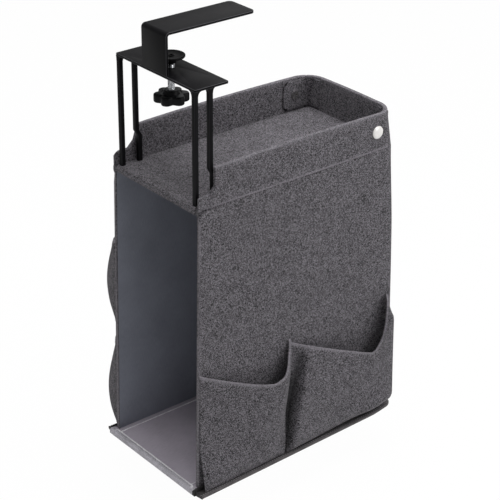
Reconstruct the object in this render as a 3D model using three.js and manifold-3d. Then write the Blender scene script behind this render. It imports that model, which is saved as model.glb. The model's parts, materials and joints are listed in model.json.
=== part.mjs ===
// A hanging storage box: a cloth box with a tray, a bay and pockets, under a steel screw clamp.
// Millimetres. X runs across the box, Y from its open front to its back, Z up.
// The origin lies on the underside of the clamp's arm, straight above the screw.

import * as THREE from 'three';
import { mergeVertices } from 'three/addons/utils/BufferGeometryUtils.js';
import Module from 'manifold-3d';

const wasm = await Module();
wasm.setup();

// Clamp: arm, plate, nut, screw, disc and knob
const sheet = 3;
const armWidth = 45;
const armReach = 124;
const armTipRadius = 6;
const armBendRadius = 5;
const jawHeight = 46;
const screwSetback = 23;
const plateSideGap = 0.5;
const plateDepth = 46;
const plateCornerRadius = 2;
const screwDiameter = 8;
const screwClearance = 0.6;
const nutAcrossFlats = 13;
const nutHeight = 7;
const nutClearance = 0.3;
const jawGap = 32;
const discDiameter = 32;
const discRimHeight = 2.5;
const discDishHeight = 3;
const discHubHeight = 3.5;
const discHubDiameter = 13;
const ballDiameter = 7;
const neckDiameter = 4.6;
const ballClearance = 0.4;
const ballRoof = 1.6;
const freeThread = 16.5;
const knobDiameter = 40;
const knobLobes = 6;
const knobLobeDepth = 4.5;
const knobHeight = 10;
const knobBevel = 1.2;
const knobHubDiameter = 18;
const knobHubHeight = 4;
const knobFloor = 2;
const knobClearance = 0.3;

// Legs and the frame inside the shelf, all of one square bar
const bar = 5.5;
const barBendRadius = 7.5;
const legInset = 4;
const legSpacing = 20;
const legCrank = 4;
const legCrankRise = 32;
const legCrankSlope = 7;
const legSlit = 0.5;
const railClearance = 0.25;
const railEndGap = 6;

// Cloth box
const bodyWidth = 157;
const bodyDepth = 300;
const frontOverhang = 4;
const rimDrop = 140;
const trayDepth = 43;
const bayHeight = 356;
const cloth = 1.2;
const wallBoard = 2.2;
const layerGap = 0.2;
const boardCornerRadius = 15;
const boardEdge = 1;
const shelfBoard = 5;
const cornerRadius = 10;
const seam = 0.3;
const foldGap = 0.6;
const sideLean = 6;
const frontLean = 4;
const backLean = 8;
const notchLength = 24;
const notchLip = 16;
const notchSlope = 8;

// Base and its bindings
const baseBoard = 3.6;
const baseSideOverhang = 1.5;
const baseFrontOverhang = 8;
const frontBindingLap = 7;
const bindingWidth = 5;
const bindingHeight = 10;
const bindingDrop = 0.5;

// Pockets
const pocketCloth = 1.6;
const pocketFrontInset = 2;
const frontPocketLength = 132;
const pocketGap = 1;
const pocketBottomGap = 6;
const pocketFullness = 0.75;
const rightPocketRim = 151;
const rightPocketBelly = 20;
const frontPocketDip = 37;
const frontPocketLowPlace = 39;
const frontPocketFall = 24;
const frontPocketShoulder = 1;
const rearPocketDip = 48;
const rearPocketLowPlace = 45;
const rearPocketFall = 10.5;
const rearPocketShoulder = 9;
const upperPocketBottom = 155;
const upperPocketHeight = 106;
const lowerPocketHeight = 126;
const leftPocketBelly = 26;
const leftPocketSwell = 7;
const leftPocketFall = 10;
const leftRimShare = 0.35;

// Snap fasteners at the back corners of the flaps, and the tabs that carry their studs
const snapFromBack = 30;
const snapFromRim = 22;
const snapCapDiameter = 16;
const snapCapHeight = 3.5;
const snapHoleDiameter = 8;
const snapBarrelDiameter = 5;
const snapBarrelLength = 3;
const socketDiameter = 12;
const socketFlange = 0.8;
const socketDepth = 1.6;
const socketBore = 5.4;
const socketFit = 0.2;
const studFlangeDiameter = 11;
const studFlange = 1.1;
const studDiameter = 4.4;
const studReach = 2.1;
const tabCloth = 1.5;
const tabGap = 1;
const tabLength = 18;
const tabFoot = 20;
const tabMargin = 3;

// Places worked out from the sizes above
const webFront = -screwSetback;
const plateTop = -jawHeight;
const plateUnder = plateTop - sheet;
const plateBack = webFront + plateDepth;
const nutUnder = plateUnder - nutHeight;
const legY = webFront + bar / 2;
const front = webFront - frontOverhang;
const back = front + bodyDepth;
const rim = -rimDrop;
const shelfThickness = bar + 2 * (cloth + railClearance);
const shelfTop = rim - trayDepth;
const shelfUnder = shelfTop - shelfThickness;
const fold = (shelfTop + shelfUnder) / 2;
const baseTop = shelfUnder - bayHeight;
const baseUnder = baseTop - baseBoard - 2 * cloth;
const wall = wallBoard + 2 * (cloth + layerGap);
const outer = bodyWidth / 2;
const inner = outer - wall;
const plateHalf = inner - plateSideGap;
const legX = plateHalf - legInset;
const backInner = back - wall;
const sideEnd = back - cornerRadius - seam;
const baseHalf = outer + sideLean + baseSideOverhang;
const baseFront = front - frontLean - baseFrontOverhang;
const baseBack = back + backLean + baseSideOverhang;
const boardOuter = outer - cloth - layerGap;
const boardInner = boardOuter - wallBoard;
const railTop = fold + bar / 2;
const railUnder = fold - bar / 2;
const railEnd = backInner - railEndGap;
const snapY = back - snapFromBack;
const snapZ = rim - snapFromRim;
const tabOuter = inner - tabGap;
const tabInner = tabOuter - tabCloth;

// A closed, welded geometry with its faces pointing out
function welded(geometry) {
  const bare = geometry.index ? geometry.toNonIndexed() : geometry.clone();
  bare.deleteAttribute('normal');
  bare.deleteAttribute('uv');
  const merged = mergeVertices(bare, 1e-4);
  const position = merged.attributes.position;
  const [a, b, c] = [new THREE.Vector3(), new THREE.Vector3(), new THREE.Vector3()];
  const triangles = [];
  let volume = 0;
  for (let i = 0; i < merged.index.count; i += 3) {
    const corner = [0, 1, 2].map((k) => merged.index.getX(i + k));
    if (new Set(corner).size < 3) continue;
    a.fromBufferAttribute(position, corner[0]);
    b.fromBufferAttribute(position, corner[1]);
    c.fromBufferAttribute(position, corner[2]);
    volume += a.dot(b.cross(c));
    triangles.push(corner);
  }
  merged.setIndex(triangles.flatMap(([p, q, r]) => (volume < 0 ? [p, r, q] : [p, q, r])));
  return merged;
}

function solidOf(geometry) {
  const closed = welded(geometry);
  const vertProperties = new Float32Array(closed.attributes.position.array);
  const triVerts = new Uint32Array(closed.index.array);
  return new wasm.Manifold(new wasm.Mesh({ numProp: 3, vertProperties, triVerts }));
}

function geometryOf(solid) {
  const { vertProperties, triVerts } = solid.getMesh();
  const geometry = new THREE.BufferGeometry();
  geometry.setAttribute('position', new THREE.BufferAttribute(new Float32Array(vertProperties), 3));
  geometry.setIndex(Array.from(triVerts));
  return geometry;
}

const cut = (geometry, ...tools) =>
  geometryOf(tools.reduce((solid, tool) => solid.subtract(solidOf(tool)), solidOf(geometry)));
const join = (geometry, ...others) =>
  geometryOf(others.reduce((solid, other) => solid.add(solidOf(other)), solidOf(geometry)));
const common = (geometry, other) => geometryOf(solidOf(geometry).intersect(solidOf(other)));

// Basic forms
function block([x0, x1], [y0, y1], [z0, z1]) {
  const box = new THREE.BoxGeometry(x1 - x0, y1 - y0, z1 - z0);
  return box.translate((x0 + x1) / 2, (y0 + y1) / 2, (z0 + z1) / 2);
}

function outline(points) {
  return new THREE.Shape(points.map(([u, v]) => new THREE.Vector2(u, v)));
}

const extruded = (shape, depth) =>
  new THREE.ExtrudeGeometry(shape, { depth, bevelEnabled: false, curveSegments: 6 });

// A shape drawn in X and Y, standing between two heights
const upright = (shape, [z0, z1]) => extruded(shape, z1 - z0).translate(0, 0, z0);

// A shape drawn in Y and Z, running between two places in X
function across(shape, [x0, x1]) {
  const turn = new THREE.Matrix4().makeBasis(
    new THREE.Vector3(0, 1, 0), new THREE.Vector3(0, 0, 1), new THREE.Vector3(1, 0, 0));
  return extruded(shape, x1 - x0).applyMatrix4(turn).translate(x0, 0, 0);
}

// A shape drawn in X and Z, running between two places in Y
function lengthwise(shape, [y0, y1]) {
  const turn = new THREE.Matrix4().makeBasis(
    new THREE.Vector3(1, 0, 0), new THREE.Vector3(0, 0, 1), new THREE.Vector3(0, -1, 0));
  return extruded(shape, y1 - y0).applyMatrix4(turn).translate(0, y1, 0);
}

// A profile of radius and height turned about the Z axis
function turned(profile, sides = 32) {
  const points = profile.map(([r, z]) => new THREE.Vector2(r, z));
  return new THREE.LatheGeometry(points, sides).rotateX(Math.PI / 2);
}

// A profile of radius and reach turned about a line along X at one place in Y and Z
function turnedAcross(profile, y, z, sides = 24) {
  const points = profile.map(([r, x]) => new THREE.Vector2(r, x));
  return new THREE.LatheGeometry(points, sides).rotateZ(-Math.PI / 2).translate(0, y, z);
}

const rod = (radius, [z0, z1], sides = 32) =>
  turned([[0, z0], [radius, z0], [radius, z1], [0, z1]], sides);

const mirrored = (geometry) => geometry.clone().scale(-1, 1, 1);

// Below the fold the walls lean out towards the base, at the sides, the front and the back
function leaned(geometry) {
  const moved = geometry.clone();
  const position = moved.attributes.position;
  for (let i = 0; i < position.count; i += 1) {
    const [x, y, z] = [position.getX(i), position.getY(i), position.getZ(i)];
    const drop = Math.max(fold - z, 0) / (fold - baseTop);
    const depth = (y - front) / bodyDepth;
    const shift = backLean * depth - frontLean * (1 - depth);
    position.setXYZ(i, x * (1 + drop * sideLean / outer), y + drop * shift, z);
  }
  return moved;
}

// A wall made from a function of its lowest and highest place: upright above the fold, leaning below
const bentAtFold = (make, [low, high]) => join(make([fold, high]), leaned(make([low, fold])));

// Finishes
const finish = (color, roughness, metalness) =>
  () => new THREE.MeshStandardMaterial({ color, roughness, metalness });
const blackSteel = finish(0x1d1c20, 0.55, 0.35);
const zincSteel = finish(0xc4c6c8, 0.3, 0.9);
const blackPlastic = finish(0x101011, 0.5, 0);
const greyCloth = finish(0x5d5a5e, 0.95, 0);
const smoothLining = finish(0x5a5e68, 0.8, 0);
const paleLining = finish(0x827e85, 0.85, 0);
const darkTape = finish(0x3a383a, 0.9, 0);
const paleTape = finish(0x989aa2, 0.8, 0);
const board = finish(0x8a6f4d, 0.95, 0);
const snapMetal = finish(0xdcdcda, 0.3, 0.7);

const box = new THREE.Group();
box.name = 'hanging_storage_box';

function add(name, material, geometry) {
  const mesh = new THREE.Mesh(welded(geometry), material());
  mesh.name = name;
  box.add(mesh);
}

// The same piece on the right side and, mirrored, on the left
function addPair(name, material, geometry) {
  add(`right_${name}`, material, geometry);
  add(`left_${name}`, material, mirrored(geometry));
}

// Arm: a strip bent over the web, its tip corners rounded
function armGeometry() {
  const profile = new THREE.Shape();
  const insideRadius = armBendRadius - sheet;
  const tip = webFront + armReach;
  profile.moveTo(webFront, plateTop);
  profile.lineTo(webFront + sheet, plateTop);
  profile.lineTo(webFront + sheet, -insideRadius);
  profile.absarc(webFront + armBendRadius, -insideRadius, insideRadius, Math.PI, Math.PI / 2, true);
  profile.lineTo(tip, 0);
  profile.lineTo(tip, sheet);
  profile.lineTo(webFront + armBendRadius, sheet);
  profile.absarc(webFront + armBendRadius, sheet - armBendRadius, armBendRadius, Math.PI / 2, Math.PI, false);
  const half = armWidth / 2;
  const plan = new THREE.Shape();
  plan.moveTo(-half, webFront);
  plan.lineTo(half, webFront);
  plan.lineTo(half, tip - armTipRadius);
  plan.absarc(half - armTipRadius, tip - armTipRadius, armTipRadius, 0, Math.PI / 2, false);
  plan.absarc(armTipRadius - half, tip - armTipRadius, armTipRadius, Math.PI / 2, Math.PI, false);
  return common(across(profile, [-half, half]), upright(plan, [plateTop, sheet]));
}

function roundedPlan([x0, x1], [y0, y1], radius) {
  const plan = new THREE.Shape();
  plan.absarc(x0 + radius, y0 + radius, radius, Math.PI, 1.5 * Math.PI, false);
  plan.absarc(x1 - radius, y0 + radius, radius, 1.5 * Math.PI, 2 * Math.PI, false);
  plan.absarc(x1 - radius, y1 - radius, radius, 0, 0.5 * Math.PI, false);
  plan.absarc(x0 + radius, y1 - radius, radius, 0.5 * Math.PI, Math.PI, false);
  return plan;
}

function plateGeometry() {
  const plan = roundedPlan([-plateHalf, plateHalf], [webFront, plateBack], plateCornerRadius);
  const hole = rod(screwDiameter / 2 + screwClearance, [plateUnder - 1, plateTop + 1]);
  return cut(upright(plan, [plateUnder, plateTop]), hole);
}

function nutGeometry() {
  const acrossCorners = nutAcrossFlats / Math.cos(Math.PI / 6);
  const hexagon = rod(acrossCorners / 2, [nutUnder, plateUnder], 6);
  return cut(hexagon, rod(screwDiameter / 2 + nutClearance, [nutUnder - 1, plateUnder + 1]));
}

// The disc's top is flat; a socket in its hub holds the screw's ball
const discTop = -jawGap;
const discHubUnder = discTop - discRimHeight - discDishHeight - discHubHeight;
const ballRadius = ballDiameter / 2;
const ballZ = discTop - ballRoof - ballClearance - ballRadius;
const neckRadius = neckDiameter / 2;
const socketRadius = ballRadius + ballClearance;
const mouthRadius = neckRadius + ballClearance;
const arcPoints = (radius, z, from, to, steps) =>
  Array.from({ length: steps + 1 }, (_, i) => {
    const angle = from + (to - from) * i / steps;
    return [radius * Math.cos(angle), z + radius * Math.sin(angle)];
  });

function discGeometry() {
  const rimRadius = discDiameter / 2;
  const hubRadius = discHubDiameter / 2;
  const rimUnder = discTop - discRimHeight;
  const mouthAngle = -Math.acos(mouthRadius / socketRadius);
  const socket = arcPoints(socketRadius, ballZ, mouthAngle, Math.PI / 2, 8);
  socket[socket.length - 1][0] = 0;
  return turned([
    [0, discTop], [rimRadius, discTop], [rimRadius, rimUnder],
    [hubRadius, rimUnder - discDishHeight], [hubRadius, discHubUnder],
    [mouthRadius, discHubUnder], ...socket,
  ]);
}

// The screw ends in a ball above and inside the knob below
const knobHubTop = nutUnder - freeThread;
const knobTop = knobHubTop - knobHubHeight;
const knobUnder = knobTop - knobHeight;
const screwEnd = knobUnder + knobFloor + knobClearance;

function screwGeometry() {
  const neckAngle = -Math.acos(neckRadius / ballRadius);
  const ball = arcPoints(ballRadius, ballZ, neckAngle, Math.PI / 2, 8);
  ball[ball.length - 1][0] = 0;
  const shoulder = discHubUnder - ballClearance;
  const radius = screwDiameter / 2;
  return turned([
    [0, screwEnd], [radius, screwEnd], [radius, shoulder], [neckRadius, shoulder], ...ball,
  ]);
}

function knobGeometry() {
  const middle = (knobDiameter - knobLobeDepth) / 2 - knobBevel;
  const steps = knobLobes * 10;
  const lobes = outline(Array.from({ length: steps }, (_, i) => {
    const angle = 2 * Math.PI * i / steps;
    const radius = middle + knobLobeDepth / 2 * Math.cos(knobLobes * angle);
    return [radius * Math.cos(angle), radius * Math.sin(angle)];
  }));
  const star = new THREE.ExtrudeGeometry(lobes, {
    depth: knobHeight - 2 * knobBevel, bevelSize: knobBevel, bevelThickness: knobBevel, bevelSegments: 2,
  }).translate(0, 0, knobUnder + knobBevel);
  const hub = rod(knobHubDiameter / 2, [knobUnder + knobFloor, knobHubTop]);
  const bore = rod(screwDiameter / 2 + knobClearance, [knobUnder + knobFloor, knobHubTop + 1]);
  return cut(join(star, hub), bore);
}

add('clamp_arm', blackSteel, armGeometry());
add('hanger_plate', blackSteel, plateGeometry());
add('screw_nut', zincSteel, nutGeometry());
add('pressure_disc', blackSteel, discGeometry());
add('clamp_screw', zincSteel, screwGeometry());
add('star_knob', blackPlastic, knobGeometry());

// A front leg and the rail that carries the shelf are one bent bar
function railGeometry() {
  const insideRadius = barBendRadius - bar;
  const legFront = legY - bar / 2;
  const legBack = legY + bar / 2;
  const side = new THREE.Shape();
  side.moveTo(legFront, plateUnder);
  side.lineTo(legFront, railUnder + barBendRadius);
  side.absarc(legFront + barBendRadius, railUnder + barBendRadius, barBendRadius, Math.PI, 1.5 * Math.PI, false);
  side.lineTo(railEnd, railUnder);
  side.lineTo(railEnd, railTop);
  side.lineTo(legBack + insideRadius, railTop);
  side.absarc(legBack + insideRadius, railTop + insideRadius, insideRadius, 1.5 * Math.PI, Math.PI, true);
  side.lineTo(legBack, plateUnder);
  return across(side, [legX - bar / 2, legX + bar / 2]);
}

// A rear leg is cranked back a little before it stands on the rail
const rearLegFront = legY + legSpacing - bar / 2;
const rearLegFoot = rearLegFront + legCrank;

function rearLegGeometry() {
  const crankLow = shelfTop + legCrankRise;
  const crankHigh = crankLow + legCrankSlope;
  const side = outline([
    [rearLegFront, plateUnder], [rearLegFront, crankHigh], [rearLegFoot, crankLow], [rearLegFoot, railTop],
    [rearLegFoot + bar, railTop], [rearLegFoot + bar, crankLow], [rearLegFront + bar, crankHigh],
    [rearLegFront + bar, plateUnder],
  ]);
  return across(side, [legX - bar / 2, legX + bar / 2]);
}

addPair('side_rail', blackSteel, railGeometry());
addPair('rear_leg', blackSteel, rearLegGeometry());
const betweenRails = legX - bar / 2;
add('rear_cross_bar', blackSteel,
  block([-betweenRails, betweenRails], [railEnd - bar, railEnd], [railUnder, railTop]));

// Shelf: one cloth wrapped over the front of a board that lies between the rails, slit for the legs
function shelfCoverGeometry() {
  const end = backInner - seam;
  const wrap = outline([
    [end, shelfTop], [front, shelfTop], [front, shelfUnder], [end, shelfUnder],
    [end, shelfUnder + cloth], [front + cloth, shelfUnder + cloth],
    [front + cloth, shelfTop - cloth], [end, shelfTop - cloth],
  ]);
  const half = inner - seam;
  const slitX = [legX - bar / 2 - legSlit, legX + bar / 2 + legSlit];
  const slitZ = [shelfTop - cloth - railClearance, shelfTop + 1];
  const bendEnd = legY + bar / 2 + barBendRadius - bar;
  const frontSlit = block(slitX, [legY - bar / 2 - legSlit, bendEnd + legSlit], slitZ);
  const rearSlit = block(slitX, [rearLegFoot - legSlit, rearLegFoot + bar + legSlit], slitZ);
  const slits = [frontSlit, rearSlit, mirrored(frontSlit), mirrored(rearSlit)];
  return cut(across(wrap, [-half, half]), ...slits);
}

const shelfBoardHalf = betweenRails - legSlit;
add('shelf_cover', greyCloth, shelfCoverGeometry());
add('shelf_board', board, block(
  [-shelfBoardHalf, shelfBoardHalf],
  [front + cloth + seam, railEnd - bar - legSlit],
  [fold - shelfBoard / 2, fold + shelfBoard / 2]));

// Lower side walls: cover, board and lining, standing on the base
const wallTop = fold - foldGap / 2;

function wallCoverGeometry() {
  const plan = outline([
    [outer, sideEnd], [outer - cloth, sideEnd], [outer - cloth, front + cloth],
    [inner, front + cloth], [inner, front], [outer, front],
  ]);
  return leaned(upright(plan, [baseTop, wallTop]));
}

function wallBoardGeometry() {
  const [y0, y1] = [front + cloth, sideEnd - boardEdge];
  const [z0, z1] = [baseTop + seam, wallTop - boardEdge];
  const side = new THREE.Shape();
  side.moveTo(y0, z0);
  side.lineTo(y1, z0);
  side.lineTo(y1, z1);
  side.absarc(y0 + boardCornerRadius, z1 - boardCornerRadius, boardCornerRadius, Math.PI / 2, Math.PI, false);
  return leaned(across(side, [boardInner, boardOuter]));
}

addPair('wall_cover', greyCloth, wallCoverGeometry());
addPair('wall_board', board, wallBoardGeometry());
addPair('wall_lining', smoothLining, leaned(block(
  [inner, inner + cloth], [front + cloth, backInner - seam], [baseTop, wallTop])));

// Flaps: the upper side walls, folding at shelf level, notched at the front, holed for the snap
const flapFoot = fold + foldGap / 2;
const notchFloor = fold + notchLip;
const notchEnd = front + notchLength;
const snapHole = turnedAcross(
  [[0, inner - 1], [snapHoleDiameter / 2, inner - 1], [snapHoleDiameter / 2, outer + 1], [0, outer + 1]],
  snapY, snapZ);

const notchTool = (margin) => across(outline([
  [front - 1, notchFloor - margin], [notchEnd - notchSlope + margin, notchFloor - margin],
  [notchEnd + margin, notchFloor + notchSlope], [notchEnd + margin, rim + 1], [front - 1, rim + 1],
]), [inner - 1, outer + 1]);

function flapCoverGeometry() {
  const section = outline([
    [outer, flapFoot], [outer, rim], [inner, rim], [inner, flapFoot],
    [inner + cloth, flapFoot], [inner + cloth, rim - cloth], [outer - cloth, rim - cloth],
    [outer - cloth, flapFoot],
  ]);
  return cut(lengthwise(section, [front, sideEnd]), notchTool(0), snapHole);
}

function flapBoardGeometry() {
  const slab = block(
    [boardInner, boardOuter], [front + boardEdge, sideEnd - boardEdge],
    [flapFoot + boardEdge, rim - cloth - seam]);
  return cut(slab, notchTool(boardEdge), snapHole);
}

addPair('flap_cover', greyCloth, flapCoverGeometry());
addPair('flap_board', board, flapBoardGeometry());

// Back wall: cover with rounded corners, board and lining, as high as the rim
function backCoverGeometry() {
  const middleX = outer - cornerRadius;
  const middleY = back - cornerRadius;
  const plan = new THREE.Shape();
  plan.absarc(middleX, middleY, cornerRadius, 0, Math.PI / 2, false);
  plan.absarc(-middleX, middleY, cornerRadius, Math.PI / 2, Math.PI, false);
  plan.absarc(-middleX, middleY, cornerRadius - cloth, Math.PI, Math.PI / 2, true);
  plan.absarc(middleX, middleY, cornerRadius - cloth, Math.PI / 2, 0, true);
  return bentAtFold((heights) => upright(plan, heights), [baseTop, rim]);
}

add('back_wall_cover', greyCloth, backCoverGeometry());
const backLayer = (half, depths, heights) => bentAtFold((span) => block([-half, half], depths, span), heights);
const backBoardFace = back - cloth - layerGap;
add('back_wall_board', board, backLayer(
  outer - cornerRadius, [backBoardFace - wallBoard, backBoardFace], [baseTop + seam, rim - boardEdge]));
add('back_wall_lining', greyCloth, backLayer(inner - seam, [backInner, backInner + cloth], [baseTop, rim]));

// Corner tabs: sewn to the back wall, lying inside the flaps
function tabGeometry() {
  const tabFront = snapY - tabLength;
  const plan = outline([
    [tabOuter, backInner], [tabOuter - tabFoot, backInner], [tabOuter - tabFoot, backInner - tabCloth],
    [tabInner, backInner - tabCloth], [tabInner, tabFront], [tabOuter, tabFront],
  ]);
  const radius = (studDiameter + socketBore) / 4;
  const hole = turnedAcross(
    [[0, tabInner - 1], [radius, tabInner - 1], [radius, tabOuter + 1], [0, tabOuter + 1]], snapY, snapZ);
  return cut(upright(plan, [shelfTop + tabMargin, rim - tabMargin]), hole);
}

function snapCapGeometry() {
  const radius = snapCapDiameter / 2;
  const dome = Array.from({ length: 7 }, (_, i) => {
    const angle = Math.PI / 2 * i / 6;
    return [radius * Math.cos(angle), outer + snapCapHeight * Math.sin(angle)];
  });
  dome[6][0] = 0;
  const barrel = snapBarrelDiameter / 2;
  const barrelEnd = outer - snapBarrelLength;
  return turnedAcross([[0, barrelEnd], [barrel, barrelEnd], [barrel, outer], ...dome], snapY, snapZ);
}

function snapSocketGeometry() {
  const cup = snapHoleDiameter / 2 - socketFit;
  const rimRadius = socketDiameter / 2;
  const bore = socketBore / 2;
  const [low, high] = [inner - socketFlange, inner + socketDepth];
  return turnedAcross(
    [[bore, low], [rimRadius, low], [rimRadius, inner], [cup, inner], [cup, high], [bore, high], [bore, low]],
    snapY, snapZ);
}

function snapStudGeometry() {
  const flange = studFlangeDiameter / 2;
  const shank = studDiameter / 2;
  const low = tabInner - studFlange;
  return turnedAcross(
    [[0, low], [flange, low], [flange, tabInner], [shank, tabInner], [shank, tabOuter + studReach],
      [0, tabOuter + studReach]],
    snapY, snapZ);
}

addPair('corner_tab', greyCloth, tabGeometry());
addPair('snap_cap', snapMetal, snapCapGeometry());
addPair('snap_socket', snapMetal, snapSocketGeometry());
addPair('snap_stud', snapMetal, snapStudGeometry());

// Base: lining, board and underside of one outline, round at the back corners
function basePlan(grow) {
  const half = baseHalf + grow;
  const end = baseBack + grow;
  const radius = cornerRadius + baseSideOverhang + grow;
  const plan = new THREE.Shape();
  plan.moveTo(-half, baseFront);
  plan.lineTo(half, baseFront);
  plan.absarc(half - radius, end - radius, radius, 0, Math.PI / 2, false);
  plan.absarc(radius - half, end - radius, radius, Math.PI / 2, Math.PI, false);
  return plan;
}

const boardUnder = baseUnder + cloth;
add('base_lining', paleLining, upright(basePlan(0), [baseTop - cloth, baseTop]));
add('base_board', board, upright(basePlan(0), [boardUnder, boardUnder + baseBoard]));
add('base_underside', darkTape, upright(basePlan(0), [baseUnder, baseUnder + cloth]));

// A pale tape wraps the base's front edge, and a dark one runs round its other three
function frontBindingGeometry() {
  const lap = baseFront + frontBindingLap;
  const nose = baseFront - cloth;
  const side = outline([
    [lap, baseTop + cloth], [nose, baseTop + cloth], [nose, baseUnder - cloth], [lap, baseUnder - cloth],
    [lap, baseUnder], [baseFront, baseUnder], [baseFront, baseTop], [lap, baseTop],
  ]);
  return across(side, [-baseHalf, baseHalf]);
}

function bottomBindingGeometry() {
  const span = [baseUnder - bindingDrop, baseUnder - bindingDrop + bindingHeight];
  const reach = [span[0] - 1, span[1] + 1];
  const aside = baseHalf + bindingWidth + 1;
  const ahead = block([-aside, aside], [baseFront - 1, front - frontLean], reach);
  return cut(upright(basePlan(bindingWidth), span), upright(basePlan(0), reach), ahead);
}

add('base_front_binding', paleTape, frontBindingGeometry());
add('bottom_binding', darkTape, bottomBindingGeometry());

const straight = (share) => Math.min(Math.max(share, 0), 1);
const quarter = (share) => Math.sin(Math.PI / 2 * straight(share));

// A pocket is a sheet sewn down along its two ends and its bottom. Its belly swells from the front
// end, in a straight line or a quarter wave, and falls to the back end, and may draw in again at the
// rim. The rim is lowest where the swell ends, and is back at its full height at a shoulder before
// the back end.
function pocketGeometry({ ends, heights, belly, rise, swell, fall, dip, shoulder, rimShare }) {
  const length = ends[1] - ends[0];
  const [swellSteps, fullSteps, fallSteps, rows] = [7, 4, 4, 6];
  const columns = swellSteps + fullSteps + fallSteps;

  const alongAt = (column) => {
    if (column <= swellSteps) return swell * column / swellSteps;
    if (column >= columns - fallSteps) return length - fall * (columns - column) / fallSteps;
    return swell + (length - fall - swell) * (column - swellSteps) / fullSteps;
  };
  const outAt = (along) => Math.min(rise(along / swell), quarter((length - along) / fall) ** pocketFullness);
  const dipAt = (along) => dip * Math.min(
    rise(along / swell), quarter((length - along - shoulder) / (length - swell - shoulder)));
  const bellyAt = (share) =>
    (1 - rimShare) * Math.sin(Math.PI * share ** 0.8) + rimShare * quarter(share);
  const plan = (column, share) => {
    const along = alongAt(column);
    return new THREE.Vector2(outer + seam + belly * outAt(along) * bellyAt(share), ends[0] + along);
  };

  const sheetBox = new THREE.BoxGeometry(1, 1, 1, 1, columns, rows);
  const position = sheetBox.attributes.position;
  for (let i = 0; i < position.count; i += 1) {
    const column = Math.round((position.getY(i) + 0.5) * columns);
    const share = position.getZ(i) + 0.5;
    const point = plan(column, share);
    const ahead = plan(Math.min(column + 1, columns), share);
    const behind = plan(Math.max(column - 1, 0), share);
    const run = ahead.sub(behind).normalize();
    const skin = position.getX(i) > 0 ? pocketCloth : 0;
    const top = heights[1] - dipAt(alongAt(column));
    position.setXYZ(
      i, point.x + run.y * skin, point.y - run.x * skin, heights[0] + (top - heights[0]) * share);
  }
  return leaned(sheetBox);
}

const pocketBottom = baseTop + pocketBottomGap;
const frontPocketEnds = [front + pocketFrontInset, front + pocketFrontInset + frontPocketLength];
const rearPocketEnds = [frontPocketEnds[1] + pocketGap + pocketCloth, back - cornerRadius];
const leftPocketEnds = [front + pocketFrontInset, back - cornerRadius];
const rightPocketHeights = [pocketBottom, baseTop + rightPocketRim];
const leftPocket = (heights) => mirrored(pocketGeometry({
  ends: leftPocketEnds, heights, belly: leftPocketBelly, rise: quarter, swell: leftPocketSwell,
  fall: leftPocketFall, dip: 0, shoulder: 0, rimShare: leftRimShare,
}));

add('right_front_pocket', greyCloth, pocketGeometry({
  ends: frontPocketEnds, heights: rightPocketHeights, belly: rightPocketBelly, rise: straight,
  swell: frontPocketLength - frontPocketLowPlace, fall: frontPocketFall,
  dip: frontPocketDip, shoulder: frontPocketShoulder, rimShare: 1,
}));
add('right_rear_pocket', greyCloth, pocketGeometry({
  ends: rearPocketEnds, heights: rightPocketHeights, belly: rightPocketBelly, rise: straight,
  swell: rearPocketEnds[1] - rearPocketEnds[0] - rearPocketLowPlace, fall: rearPocketFall,
  dip: rearPocketDip, shoulder: rearPocketShoulder, rimShare: 1,
}));
add('left_lower_pocket', greyCloth, leftPocket([pocketBottom, pocketBottom + lowerPocketHeight]));
add('left_upper_pocket', greyCloth, leftPocket(
  [baseTop + upperPocketBottom, baseTop + upperPocketBottom + upperPocketHeight]));

export default box;
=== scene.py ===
"""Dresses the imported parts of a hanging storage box: coated steel, melange cloth, linings and thread."""

import json
import math

import bmesh
import bpy
import numpy as np
from bpy.props import FloatProperty, FloatVectorProperty, PointerProperty
from mathutils import Matrix, Vector


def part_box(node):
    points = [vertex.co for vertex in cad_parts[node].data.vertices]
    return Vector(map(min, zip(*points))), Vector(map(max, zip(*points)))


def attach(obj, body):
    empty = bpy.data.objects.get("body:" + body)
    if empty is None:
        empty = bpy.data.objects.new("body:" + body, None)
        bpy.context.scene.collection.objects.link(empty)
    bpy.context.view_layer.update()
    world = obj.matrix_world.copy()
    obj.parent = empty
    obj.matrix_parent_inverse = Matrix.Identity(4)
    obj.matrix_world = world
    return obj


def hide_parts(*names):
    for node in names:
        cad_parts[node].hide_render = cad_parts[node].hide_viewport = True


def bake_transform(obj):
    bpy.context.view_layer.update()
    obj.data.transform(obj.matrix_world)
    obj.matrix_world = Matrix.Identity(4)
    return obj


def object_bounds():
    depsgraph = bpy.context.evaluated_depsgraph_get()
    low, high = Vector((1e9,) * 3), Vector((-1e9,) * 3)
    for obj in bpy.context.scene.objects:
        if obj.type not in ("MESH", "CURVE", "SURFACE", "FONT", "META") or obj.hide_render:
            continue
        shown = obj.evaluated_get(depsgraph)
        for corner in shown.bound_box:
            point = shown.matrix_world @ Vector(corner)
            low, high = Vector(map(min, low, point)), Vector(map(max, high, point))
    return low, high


bl_info = {
    "name": "Hanging storage box",
    "version": (1, 0, 0),
    "blender": (4, 5, 0),
    "location": "3D View > Sidebar > Storage box",
    "description": "Dresses the packed parts of a hanging storage box in steel, cloth and thread",
    "category": "Object",
}

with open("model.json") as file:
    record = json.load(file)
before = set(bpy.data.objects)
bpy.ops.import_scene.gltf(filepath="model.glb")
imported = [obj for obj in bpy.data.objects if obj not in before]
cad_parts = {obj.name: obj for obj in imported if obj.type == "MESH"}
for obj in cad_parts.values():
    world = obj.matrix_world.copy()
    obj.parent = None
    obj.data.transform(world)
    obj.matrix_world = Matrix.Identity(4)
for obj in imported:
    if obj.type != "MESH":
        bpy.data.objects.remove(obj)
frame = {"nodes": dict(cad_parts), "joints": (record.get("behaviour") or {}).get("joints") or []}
CAD_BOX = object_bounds()

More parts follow.
